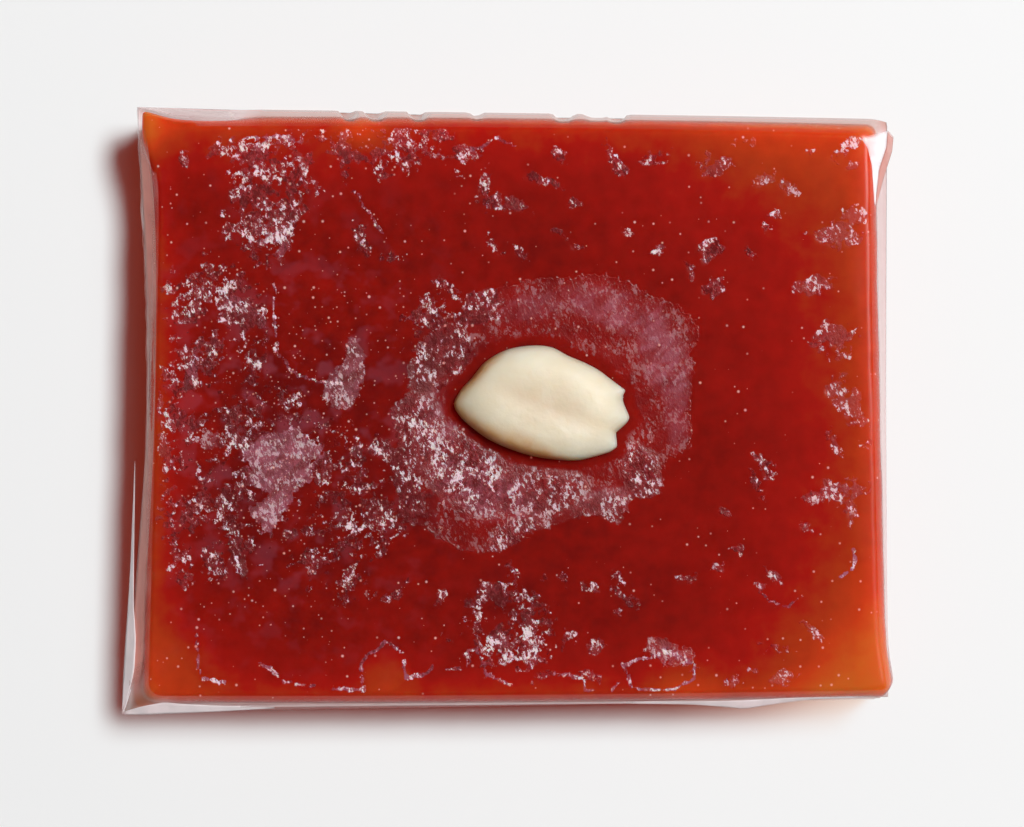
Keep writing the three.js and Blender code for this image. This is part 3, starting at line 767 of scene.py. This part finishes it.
def mottle_group():
    """A node group: soft cloudy variation of a value, for the jelly and for the almond."""
    group = bpy.data.node_groups.new("mottle", "ShaderNodeTree")
    for name, kind in (("Vector", "NodeSocketVector"), ("Per metre", "NodeSocketFloat"),
                       ("Amount", "NodeSocketFloat")):
        group.interface.new_socket(name, in_out="INPUT", socket_type=kind)
    group.interface.new_socket("Value", in_out="OUTPUT", socket_type="NodeSocketFloat")
    inside = group.nodes.new("NodeGroupInput")
    out = group.nodes.new("NodeGroupOutput")
    clouds = node(group, "TexNoise", {"Vector": inside.outputs["Vector"], "Detail": 2.0,
                                      "Scale": inside.outputs["Per metre"]})
    centred = maths(group, "SUBTRACT", clouds.outputs["Fac"], 0.5)
    group.links.new(maths(group, "MULTIPLY", centred, inside.outputs["Amount"]), out.inputs["Value"])
    return group


MOTTLE = mottle_group()


def mottle(tree, vector, per_metre, amount):
    """Places the mottle group in a material."""
    made = node(tree, "Group", node_tree=MOTTLE)
    for name, value in (("Vector", vector), ("Per metre", per_metre), ("Amount", amount)):
        set_socket(tree, made.inputs[name], value)
    return made.outputs["Value"]


# %% Jelly material
def specks(tree, vector, share, per_metre, size):
    """Small round bubbles in a share of the cells: 1 in the middle of each, 0 between them."""
    cells = node(tree, "TexVoronoi", {"Vector": vector, "Scale": per_metre, "Randomness": 1.0})
    chosen = node(tree, "SeparateColor", {0: cells.outputs["Color"]})
    radius = maths(tree, "MULTIPLY", chosen.outputs["Green"], size)
    beside = maths(tree, "DIVIDE", cells.outputs["Distance"], maths(tree, "ADD", radius, 0.02))
    kept = maths(tree, "MULTIPLY", maths(tree, "LESS_THAN", chosen.outputs["Red"], share),
                 chosen.outputs["Blue"])
    return maths(tree, "MULTIPLY", ramp(tree, beside, 1.0, 0.3), kept)


def laid(tree, vector, pattern):
    """The vector, turned and sized for a pattern."""
    return node(tree, "Mapping", {"Vector": vector, **pattern}, vector_type="TEXTURE").outputs[0]


def jelly_grains(tree, vector, haze):
    """The grain's height, and its height with facets and wide clusters added."""
    drawn = laid(tree, vector, GRAINS)
    grains = node(tree, "TexNoise", {"Vector": drawn, "Scale": 1.0, "Detail": 3.0,
                                     "Roughness": 0.80}).outputs["Fac"]
    bend = node(tree, "TexNoise", {"Vector": drawn, "Scale": 1.3}).outputs["Color"]
    bent = node(tree, "VectorMath", {0: bend, 1: (1.6, 1.6, 1.6), 2: drawn},
                operation="MULTIPLY_ADD").outputs[0]
    cells = node(tree, "TexVoronoi", {"Vector": bent, "Scale": 1.35, "Randomness": 1.0})
    facet = node(tree, "SeparateColor", {0: cells.outputs["Color"]}).outputs["Red"]
    clusters = maths(tree, "ADD", maths(tree, "MULTIPLY", grains, 0.75),
                     mottle(tree, vector, 520.0, 0.70))
    clusters = maths(tree, "MULTIPLY_ADD", facet, 0.26, clusters)
    return grains, maths(tree, "MULTIPLY_ADD", haze, 0.03, clusters)


def jelly_material():
    """Translucent red jelly, wet under the film and rough where there is air."""
    material, tree, output = new_material("quince jelly")
    vector = node(tree, "TexCoord").outputs["Object"]
    # Warmth paints the orange glow of light near the sides into the colour.
    warm = maths(tree, "ADD", attribute(tree, "warmth"), mottle(tree, vector, 500.0, 0.30))
    colour = colour_scale(tree, maths(tree, "MULTIPLY_ADD", warm, 0.9, 0.1), JELLY_COLOURS)
    edge = maths(tree, "ADD", attribute(tree, "air"), mottle(tree, vector, 1500.0, 1.6))
    airy = ramp(tree, edge, 0.42, 0.58)
    sparkle = maths(tree, "MULTIPLY", attribute(tree, "sparkle"), airy)
    haze = maths(tree, "MULTIPLY", attribute(tree, "haze"), airy)
    grains, clusters = jelly_grains(tree, vector, haze)
    streaks = node(tree, "TexNoise", {"Vector": laid(tree, vector, STREAKS), "Scale": 1.0,
                                      "Detail": 2.0}).outputs["Fac"]
    haze = maths(tree, "MULTIPLY", haze, ramp(tree, streaks, 0.34, 0.62, 0.45, 1.40))
    misty = maths(tree, "MAXIMUM", haze, maths(tree, "MULTIPLY", sparkle, 0.30))
    sheen_cover = maths(tree, "MULTIPLY", misty, maths(tree, "MULTIPLY_ADD", warm, 0.45, 0.33))
    # Painted faint sheen where the fine glints are.
    faint_sheen = maths(tree, "MULTIPLY", attribute(tree, "fine_glints"),
                   ramp(tree, mottle(tree, vector, 330.0, 1.0), 0.0, 0.16, 0.0, 0.26))
    sheen_cover = maths(tree, "MAXIMUM", sheen_cover, faint_sheen)
    # Painted sheen: a pink cover where there is haze, and faintly where there is sparkle.
    base = blend_colour(tree, sheen_cover, colour, PAINTED_SHEEN_PINK)
    # Painted shade in the hollows between glints, less where the jelly is orange.
    hollow_shade = maths(tree, "MULTIPLY", sparkle, ramp(tree, clusters, 0.47, 0.40, 0.0, 0.75))
    hollow_shade = maths(tree, "MULTIPLY", hollow_shade, ramp(tree, warm, 0.5, 0.15))
    base = blend_colour(tree, hollow_shade, base, PAINTED_HOLLOW_SHADE)
    # Painted glints where the grains cluster.
    sparks = maths(tree, "MULTIPLY", sparkle, ramp(tree, clusters, 0.565, 0.70))
    base = blend_colour(tree, sparks, base, PAINTED_GLINT)
    # Painted glints: a pale speck in most bubble cells, and in the fine glints.
    base = blend_colour(tree, specks(tree, vector, BUBBLE_SHARE, *BUBBLES), base, SPECK_GLINT)
    fine_glints = maths(tree, "MULTIPLY", attribute(tree, "fine_glints"), 0.5)
    base = blend_colour(tree, specks(tree, vector, fine_glints, *FINE_GLINTS), base, SPECK_GLINT)
    rough = maths(tree, "MULTIPLY_ADD", haze, 0.16, 0.12)
    rough = maths(tree, "MULTIPLY_ADD", attribute(tree, "worn_edge"), 0.12, rough)
    height = maths(tree, "MULTIPLY", grains, sparkle)
    bump = node(tree, "Bump", {"Height": height, "Distance": 0.00035, "Strength": 1.0})
    shader = node(tree, "BsdfPrincipled", {
        "Base Color": base, "Roughness": rough, "Normal": bump.outputs[0], "IOR": 1.28,
        "Subsurface Weight": 1.0, "Subsurface Radius": (1.0, 0.15, 0.08),
        "Subsurface Scale": 0.009,
    })
    through = blend_colour(tree, attribute(tree, "thin"), THROUGH, THROUGH_THIN)
    tinted = node(tree, "BsdfTransparent", {"Color": through})
    matt = node(tree, "BsdfDiffuse", {"Color": BOUNCE})
    ray = node(tree, "LightPath").outputs
    seen = node(tree, "MixShader", {0: ray["Is Diffuse Ray"], 1: shader.outputs[0],
                                    2: matt.outputs[0]})
    mixed = node(tree, "MixShader", {0: ray["Is Shadow Ray"], 1: seen.outputs[0],
                                     2: tinted.outputs[0]})
    tree.links.new(mixed.outputs[0], output.inputs["Surface"])
    return material


hand_over(jelly, "quince_paste", jelly_material())

# %% [markdown]
# ## The almond
# A blanched almond is dull, cream and a little waxy. It starts as a ball whose points are pushed
# out to the kernel's outline, flattened, and given a shallow valley along its top with a low
# swell in front of it. The broken right end is steep and uneven.

# %% Model the almond
ALMOND_LOW, ALMOND_HIGH = 11.12, 15.6
# The share of its height at which the kernel is widest.
KERNEL_MIDDLE = 0.17
VALLEY_DEEP, SWELL_HIGH, LUMPS_HIGH = 0.32, 0.18, 0.10

bpy.ops.object.select_all(action="DESELECT")
bpy.ops.mesh.primitive_uv_sphere_add(segments=320, ring_count=72, radius=1)
almond = bpy.context.object
almond.name = almond.data.name = "blanched_almond"
ball = get_points(almond)
angle = np.arctan2(ball[:, 1], ball[:, 0])
reach = np.hypot(ball[:, 0], ball[:, 1])
tilt = np.arcsin(np.clip(ball[:, 2], -1, 1))
girth = np.cos(tilt) ** 0.42
height = np.sign(ball[:, 2]) * np.abs(np.sin(tilt)) ** 0.80
turns = np.radians(np.arange(-30, 31, 5))
smooth_radius = np.mean([kernel_radius(angle + turn) for turn in turns], axis=0)
upward = np.clip((height - 0.4) * 1.8, 0, 1)
outline = kernel_radius(angle) * (1 - upward) + smooth_radius * upward
radius = outline * np.where(reach > 1e-6, girth, 0)
x, y = radius * np.cos(angle), radius * np.sin(angle)
widest = ALMOND_LOW + KERNEL_MIDDLE * (ALMOND_HIGH - ALMOND_LOW)
z = np.where(height > 0, widest + height * (ALMOND_HIGH - widest),
             widest + height * (widest - ALMOND_LOW))
across = y + 0.3 + 0.38 * x
valley = VALLEY_DEEP * near(across, 1.7) * near(x, 6.8)
swell = SWELL_HIGH * near(across + 2.4, 1.7) * near(x + 1, 6)
lumps = LUMPS_HIGH * cloudy(np.column_stack([x, y, z]), 4.5, 3, seed=12)
z = z + np.where(height > 0.2, swell - valley, 0) + lumps * np.clip(height * 2, 0, 1)
z = np.minimum(z, ALMOND_HIGH)
flat = np.column_stack([x, y])
put_points(almond, np.column_stack([flat + ALMOND_AT, z]))

# %% [markdown]
# ## The almond's colour
# Brown lies along the kernel's edge, most of it round the tip's front, with a spot at the back.
# A number called brown marks it, strongest at the outline and fading inwards. Round the tip's
# front, towards the bottom and in the valley this brown is painted shade. The kernel's front
# is turned away from the lamps and would look grey, so a second number, far side, paints light
# there: a warmer, paler cream, as on a waxy kernel that light soaks through.

# %% Brown edges, painted shade and painted light of the almond
# A brown spot at the back: x, y, half length, half width, turn.
BROWN_SPOT = (-7.2, 4.0, 3.6, 1.2, 48)

low_down = np.clip(1 - (height + 0.1) / 0.55, 0, 1)
within = np.minimum(from_kernel(flat + ALMOND_AT), 0)
at_edge = near(within, 1.2)
round_front = np.sin(np.clip((angle % (2 * math.pi) - 2.8) * 1.28, 0, math.pi))
front_painted_shade = np.clip(2.2 * round_front, 0, 1.1) * near(within, 0.6 + 1.3 * round_front)
back_brown = np.clip(in_ellipse(flat, *BROWN_SPOT) + 0.4, 0, 1) * at_edge
# Brown: painted shade towards the bottom, at the tip's front and in the valley, and a brown spot.
brown = low_down * 0.15 + front_painted_shade + 0.95 * back_brown + 0.55 * valley
put_attribute(almond, "brown", np.clip(brown, 0, 1))
# Far side: where light is painted on the front edge, turned away from the lamps.
put_attribute(almond, "far_side", at_edge * np.clip((-y - 0.3 * x) / 5.0, 0, 1))
print("share of the kernel with brown skin:", round(float((brown > 0.5).mean()), 2))


# %% Almond material
CREAM_DARK, CREAM_PALE, CREAM_PAINTED_LIGHT = (0.76, 0.64, 0.47, 1), (0.84, 0.75, 0.60, 1), (1.0, 0.88, 0.66, 1)
# The brown of the kernel's edge, mostly painted shade.
KERNEL_BROWN = (0.65, 0.34, 0.12, 1)


def almond_material():
    """Cream and waxy, with a little brown at its edges."""
    material, tree, output = new_material("blanched almond")
    vector = node(tree, "TexCoord").outputs["Object"]
    cream = blend_colour(tree, maths(tree, "ADD", mottle(tree, vector, 260.0, 1.6), 0.5),
                         CREAM_DARK, CREAM_PALE)
    # Painted light: a paler, warmer cream on the far side.
    cream = blend_colour(tree, attribute(tree, "far_side"), cream, CREAM_PAINTED_LIGHT)
    shading = maths(tree, "MULTIPLY", attribute(tree, "brown"),
                 maths(tree, "ADD", mottle(tree, vector, 700.0, 0.7), 1.0))
    base = blend_colour(tree, shading, cream, KERNEL_BROWN)
    grain = mottle(tree, vector, 1800.0, 1.0)
    bump = node(tree, "Bump", {"Height": grain, "Distance": 0.00006, "Strength": 0.6})
    shader = node(tree, "BsdfPrincipled", {
        "Base Color": base, "Roughness": 0.5, "Normal": bump.outputs[0],
        "Subsurface Weight": 1.0, "Subsurface Radius": (1.0, 0.8, 0.6), "Subsurface Scale": 0.0055,
    })
    tree.links.new(shader.outputs[0], output.inputs["Surface"])
    return material


hand_over(almond, "almond", almond_material())

# %% [markdown]
# ## The film
# The film is far thinner than a hair, so one surface stands for it. It is a closed bag: a grid
# for its top, whose border is extruded down the sides and in underneath. It hangs from the
# almond like a tent, rounds the slab's top edge, and flares out again to its hem on the paper,
# where the corners are pinched to points. It stands off the slab most at the left.

# %% Values for the film, in millimetres
FILM_TOP = 12.34
FILM_CELLS = (150, 120)
# How high its hem lies above the paper.
HEM = 0.32
# From the film's flat top down over the edge: how far outside the slab, and how high.
FILM_SHOULDER = [(-0.7, 12.3), (-0.3, 12.12), (-0.02, 11.75), (0.16, 11.0)]
# How far inside the slab's edge its flat top ends.
FILM_EDGE = 1.25
# The rings down its sides: the share of the way up that each one lies at.
SKIRT = [0.97, 0.93, 0.87, 0.8, 0.7, 0.58, 0.45, 0.33, 0.22, 0.12, 0.05, 0.0]
# How far the rings of the underside are drawn in.
UNDER = [0.35, 0.7]
# Beyond the almond's edge the film comes down over a reach, from a brim that is a share of the
# crest's height above the flat film.
TENT_REACH, BRIM, CREST = 1.3, 0.80, 16.05
# How round the hem's corners are, and how far its sides are crumpled.
HEM_ROUND, CRUMPLE = 0.3, 0.5


def tent(place):
    """Height of the film above the slab's top, round the almond."""
    beyond = from_kernel(place)
    inside = np.clip(1 + beyond / 6.0, 0, 1)
    outside = np.clip(beyond / TENT_REACH, 0, 1)
    over = BRIM + (1 - BRIM) * np.sqrt(np.clip(1 - inside ** 2, 0, 1))
    return (CREST - FILM_TOP) * np.where(beyond < 0, over, BRIM * (1 - outside) ** 1.35)


def stand_off(u, v):
    """How far the film stands off the slab's side, from 0 to 1: most at the left corners."""
    left = np.clip(-u, 0, 1) ** 6 * np.clip(1.5 * np.abs(v + 0.05), 0.15, 1)
    left_back = near(u + 1, 0.26) * np.clip(v, 0, 1) ** 4
    left_front = near(u + 1, 0.16) * np.clip(-v, 0, 1) ** 4
    return np.clip(np.maximum(left, np.maximum(left_back, left_front)), 0.12, 1)


# %% Model the film
film = grid("film_wrap", *FILM_CELLS)
extrude_border(film, len(FILM_SHOULDER) + len(SKIRT) + len(UNDER))
unit = get_points(film)
level = np.rint(-unit[:, 2]).astype(int)
u, v = unit[:, 0], unit[:, 1]
first_skirt = len(FILM_SHOULDER) + 1
first_under = first_skirt + len(SKIRT)
place = slab_point(u, v, FILM_EDGE, JELLY_TOP, CORNER_ROUND)
z = FILM_TOP + tent(place)
for step, (outside, high) in enumerate(FILM_SHOULDER, start=1):
    here = level == step
    place[here] = slab_point(u[here], v[here], -outside, high, CORNER_ROUND)
    z[here] = high
wall_out, wall_high = FILM_SHOULDER[-1]
for step, share in enumerate(SKIRT, start=first_skirt):
    here = level == step
    high = HEM + (wall_high - HEM) * share
    against = slab_point(u[here], v[here], -wall_out - 0.1 * (1 - share), high, CORNER_ROUND)
    hem_u, hem_v = round_corners(u[here], v[here], HEM_ROUND)
    hem = plan_point(HEM_PLAN, hem_u, hem_v)
    stand = stand_off(u[here], v[here])
    bulge = 0.75 - 0.35 * np.clip(-u[here], 0, 1) ** 6
    out = stand * (1 - share) ** bulge + (1 - stand) * (1 - share) ** 4
    place[here] = against * (1 - out[:, None]) + hem * out[:, None]
    z[here] = high
for step, inward in enumerate(UNDER, start=first_under):
    here = level == step
    place[here] = plan_point(HEM_PLAN, u[here] * (1 - inward), v[here] * (1 - inward))
    z[here] = HEM

# %% Crumple the film's sides
skirt_share = np.clip((z - HEM) / (wall_high - HEM), 0, 1)
crumple = cloudy(np.column_stack([place, z * 0.6]), 4.0, 3, seed=13)
on_skirt = (level >= first_skirt) & (level < first_under)
stand = stand_off(u, v)
calm = 1 - 0.85 * np.clip((v - 0.8) / 0.15, 0, 1)
halfway = 4 * skirt_share * (1 - skirt_share)
push = CRUMPLE * np.abs(crumple) * stand * halfway * on_skirt * calm
outward = place / np.hypot(place[:, 0], place[:, 1]).clip(1e-6)[:, None]
place = place + push[:, None] * outward
put_points(film, np.column_stack([place, z]))
print("film, mm:", np.ptp(place, axis=0).round(1))

# %% [markdown]
# ## Where the film shows
# Flat film that clings can't be seen at all. Over the slab's edges and down its sides the film
# is creased, and creased film is a thin white veil. The red light of the jelly shining through
# it is painted into the veil's colour. So each point of the film gets three numbers: cling,
# which takes the mirror away, milk, which is how thick the veil is, and red glow, which is how
# much painted red light it has. Milk and red glow are made of soft bands along the sides. The
# ear's root at the left front is the reddest.

# %% Numbers for the film's materials
# How much painted red light of the jelly each side's veil has.
RED_GLOWS = {"left": 0.70, "right": 0.45, "front": 0.58, "back": 0.92, "hem back": 0.48}
MILK_FRONT, MILK_RIGHT, MILK_EAR = 0.27, 0.13, 0.62
MILK_LOW, MILK_HIGH = 0.004, 0.8

patches = cloudy(np.column_stack([place, z]), 3.0, 3, seed=14)
on_tent = (level == 0) * np.clip(1 - (from_kernel(place) - TENT_REACH - 1.5) / 2.0, 0, 1)
away = from_sides(u, v)
lit_side = (level < first_skirt) * np.clip(2.0 - np.minimum(away["right"], away["back"]) / 2.0, 0, 1)
put_attribute(film, "cling", np.max([on_tent, 0.5 * (level == 0), lit_side], axis=0))
band = {
    "left": near(away["left"], 3.0) * np.clip((31.0 - place[:, 1]) / 6, 0.2, 1),
    "right": near(away["right"], 1.5), "front": near(away["front"], 2.0),
    "back": near(away["back"], 2.0) * np.clip((place[:, 0] + 34) / 5, 0, 1),
    "hem back": near(away["back"], 2.0),
}
ear_root = near(np.hypot(away["left"], away["front"]), 3.5)
red_glow = np.max([ear_root] + [share * band[name] for name, share in RED_GLOWS.items()], axis=0)
put_attribute(film, "red_glow", red_glow)
foot = np.exp(-(z - HEM) / 0.7)
milk = (0.05 + 0.14 * patches * calm) * stand + 0.4 * foot * (0.3 + stand) * (1 - 0.4 * band["front"])
shoulder = np.select([level >= first_skirt, level == 0], [1.0, 0.0], level / first_skirt)
sides = band["left"] * (0.26 + 0.30 * np.clip(patches, 0, 1)) * skirt_share
sides += MILK_FRONT * band["front"] + MILK_RIGHT * band["right"] + MILK_EAR * ear_root
sides += band["back"] * (0.20 + 0.30 * np.exp(-(z - HEM) / 2.0))
put_attribute(film, "milk", np.clip(milk + shoulder * sides, MILK_LOW, MILK_HIGH))
print("widest stain and milk:", round(float(red_glow.max()), 2), round(float(milk.max()), 2))


# %% Film materials
# The veil's colour, from clean to the painted red light of the jelly behind it.
VEIL_COLOURS = [(0.0, (0.95, 0.88, 0.90, 1)), (0.6, (0.76, 0.38, 0.35, 1)),
                (1.0, (0.50, 0.17, 0.10, 1))]


def edge_veil(tree, edge_on, milk):
    """How much a thin milky layer hides: more where it is seen edge-on."""
    across = maths(tree, "MAXIMUM", maths(tree, "SUBTRACT", 1.0, edge_on), 0.15)
    layers = maths(tree, "DIVIDE", 1.0, across)
    clear = maths(tree, "POWER", maths(tree, "SUBTRACT", 1.0, milk), layers)
    return maths(tree, "SUBTRACT", 1.0, clear)


def clear_film():
    """Clear film: a faint mirror, seen mostly at its edges."""
    material, tree, output = new_material("clear film")
    edge_on = node(tree, "LayerWeight", {"Blend": 0.5}).outputs["Facing"]
    free = maths(tree, "SUBTRACT", 1.0, attribute(tree, "cling"))
    mirror = maths(tree, "MULTIPLY_ADD", maths(tree, "POWER", edge_on, 5.0), 0.85, 0.07)
    alpha = maths(tree, "MULTIPLY", mirror, free)
    shader = node(tree, "BsdfPrincipled", {"Base Color": (0.97, 0.97, 0.98, 1), "Metallic": 1.0,
                                           "Roughness": 0.07, "Alpha": alpha})
    tree.links.new(shader.outputs[0], output.inputs["Surface"])
    return material


def creased_film():
    """Film where it is creased: a thin white veil with a glossy face."""
    material, tree, output = new_material("creased film")
    edge_on = node(tree, "LayerWeight", {"Blend": 0.5}).outputs["Facing"]
    veil = edge_veil(tree, edge_on, attribute(tree, "milk"))
    mirror = maths(tree, "MULTIPLY_ADD", maths(tree, "POWER", edge_on, 5.0), 0.3, 0.05)
    alpha = maths(tree, "MINIMUM", maths(tree, "ADD", mirror, veil), 1.0)
    # The veil's colour is painted red light from the jelly.
    colour = colour_scale(tree, attribute(tree, "red_glow"), VEIL_COLOURS)
    shader = node(tree, "BsdfPrincipled", {"Base Color": colour, "Roughness": 0.2, "Alpha": alpha})
    tree.links.new(shader.outputs[0], output.inputs["Surface"])
    return material


# %% Give the film its two materials
# The flat top is clear, and so is the shoulder of the left back corner, whose film is tight. The
# other shoulders and the sides are creased.
CLEAR, CREASED = clear_film(), creased_film()
hand_over(film, "wrapper", CLEAR)
film.data.materials.append(CREASED)
creased = (level >= first_skirt) | ((level > 0) & ((u > -0.9) | (v < 0.85)))
creased_faces = [int(all(creased[i] for i in face.vertices)) for face in film.data.polygons]
film.data.polygons.foreach_set("material_index", creased_faces)
film.visible_shadow = False
film.visible_diffuse = False

# %% [markdown]
# ## Folds of the film
# Where the sheet is folded over itself it turns white: at the pleat of the right back corner,
# along the ears at the left front, and at the flap on the front. Each fold is a narrow strip
# between two lines. It starts as a grid, is moved between the lines, and gets a little thickness.

# %% Folds
FOLD_THICK = 0.04
FOLDS = {
    # name: left line, right line (x, y, z in millimetres), milk on each line, red glow
    "pleat_white": (
        [(41.6, 32, 12.5), (42.4, 30.9, 12.45), (42.9, 28.8, 12.4), (43.1, 26, 12.3),
         (43.25, 24, 12.2)],
        [(44.7, 32.9, 12.35), (44.6, 30.9, 12.3), (43.7, 28.4, 12.3), (43.45, 26, 12.25),
         (43.35, 24, 12.2)], (0.35, 0.95), 0),
    "pleat_brown": (
        [(44.8, 32.9, 12.35), (44.65, 30.9, 12.35), (43.8, 28.3, 12.3), (43.4, 24.2, 12.1)],
        [(45.55, 32.2, 11.2), (45.4, 30.5, 11.2), (44.4, 27.4, 11.4), (43.5, 24.1, 12)],
        (0.5, 0.5), 0.75),
    "ear_left": (
        [(-43.9, -6, 10.6), (-44.4, -18, 10.4), (-44.7, -23, 10.4), (-45, -27.2, 10.4),
         (-45.3, -31.9, 10.3), (-45.45, -35.8, 10)],
        [(-43.85, -6, 10.7), (-44, -18, 10.9), (-44, -23, 11.2), (-43.7, -27.1, 11.5),
         (-43.9, -30.8, 11.5), (-45.25, -35.7, 10.1)],
        (0.9, 0.9), 0.1),
    "left_veil": (
        [(-43.4, 33, 11.2), (-43.1, 27.1, 11.1), (-42.7, 20, 11), (-42.35, 13, 11),
         (-41.95, 3.5, 11.1), (-42.45, -3.5, 11), (-43, -10.6, 10.8), (-43.9, -21.9, 10.8),
         (-44.3, -28.3, 10.9), (-44.5, -32.5, 11)],
        [(-42.6, 33, 11.9), (-41.7, 27.1, 12), (-41.3, 20, 12), (-41.3, 13, 12),
         (-41.4, 3.5, 12), (-41.6, -4, 12), (-41.9, -10.6, 12), (-42.6, -21.9, 11.9),
         (-42.7, -28.3, 11.8), (-43.2, -32, 11.7)],
        (0.6, 0.28), 0.75),
    "ear_crease": (
        [(-45.35, -35.65, 10.1), (-44.85, -34.3, 10.9), (-44.3, -32.75, 11.7)],
        [(-45.2, -35.65, 10.1), (-44.7, -34.3, 10.9), (-44.2, -32.75, 11.7)],
        (0.95, 0.95), 0.1),
    "ear_front": (
        [(-45.3, -35.6, 10.1), (-42.8, -34.85, 11.2), (-40.4, -34.4, 11.5), (-37.5, -34.65, 11.3),
         (-33.9, -34.85, 10.9), (-27.2, -34.85, 10.5)],
        [(-45.4, -35.9, 9.9), (-42.5, -35.9, 10.3), (-38.9, -35.75, 10.4), (-34.2, -35.55, 10.3),
         (-27.4, -35.15, 10.1)],
        (0.8, 0.95), 0.1),
    "front_line": (
        [(-31.4, -34.75, 11.4), (-10, -34.55, 11.3), (8, -34.4, 11.2), (20, -34.3, 11.2)],
        [(-31.4, -35, 11), (-10, -34.75, 10.9), (8, -34.6, 10.8), (20, -34.5, 10.8)],
        (0.45, 0.70), 0.36),
    "front_flap": (
        [(14, -34.3, 11.5), (21.8, -34.3, 11.5), (25.4, -34.25, 11.6), (28.3, -34.15, 11.6),
         (31.8, -33.95, 11.6), (36, -33.8, 11.6), (43.6, -33.65, 11.6)],
        [(14, -34.55, 11.2), (21.8, -34.65, 11), (25.6, -34.95, 10.9), (28, -35.2, 10.8),
         (31.6, -34.6, 10.9), (36, -34, 11.2), (43.6, -33.75, 11.4)],
        (0.80, 0.60), 0.12),
}


def smooth_line(line, pieces):
    """A line of points as evenly spaced points, with its bends eased."""
    line = np.array(line)
    even = np.linspace(0, 1, pieces + 1)
    stops = np.linspace(0, 1, len(line))
    line = np.column_stack([np.interp(even, stops, line[:, i]) for i in range(3)])
    for _ in range(3):
        line[1:-1] = (line[:-2] + 2 * line[1:-1] + line[2:]) / 4
    return line


def fold(name, left, right, milk, red_glow, long=40, wide=6):
    """A strip of doubled film between two lines of points."""
    piece = grid(name, long, wide)
    flat = get_points(piece)
    share, side = (flat[:, 0] + 1) / 2, (flat[:, 1] + 1) / 2
    step = np.rint(share * long).astype(int)
    left, right = smooth_line(left, long)[step], smooth_line(right, long)[step]
    place = left * (1 - side[:, None]) + right * side[:, None]
    place[:, 2] += 0.10 * cloudy(place, 1.5, 2, seed=16)
    whiteness = (milk[0] * (1 - side) + milk[1] * side) * (1 + 0.45 * cloudy(place, 2.5, 2, seed=17))
    whiteness *= np.clip(np.minimum(share, 1 - share) / 0.08, 0, 1)
    put_points(piece, place)
    put_attribute(piece, "milk", np.clip(whiteness, 0.01, 0.97))
    put_attribute(piece, "red_glow", np.full(len(place), red_glow))
    bpy.ops.object.modifier_add(type="SOLIDIFY")
    piece.modifiers[-1].thickness = FOLD_THICK * MM
    bpy.ops.object.modifier_apply(modifier=piece.modifiers[-1].name)
    hand_over(piece, None, CREASED)
    piece.visible_shadow = False


for name, values in FOLDS.items():
    fold(name, *values)
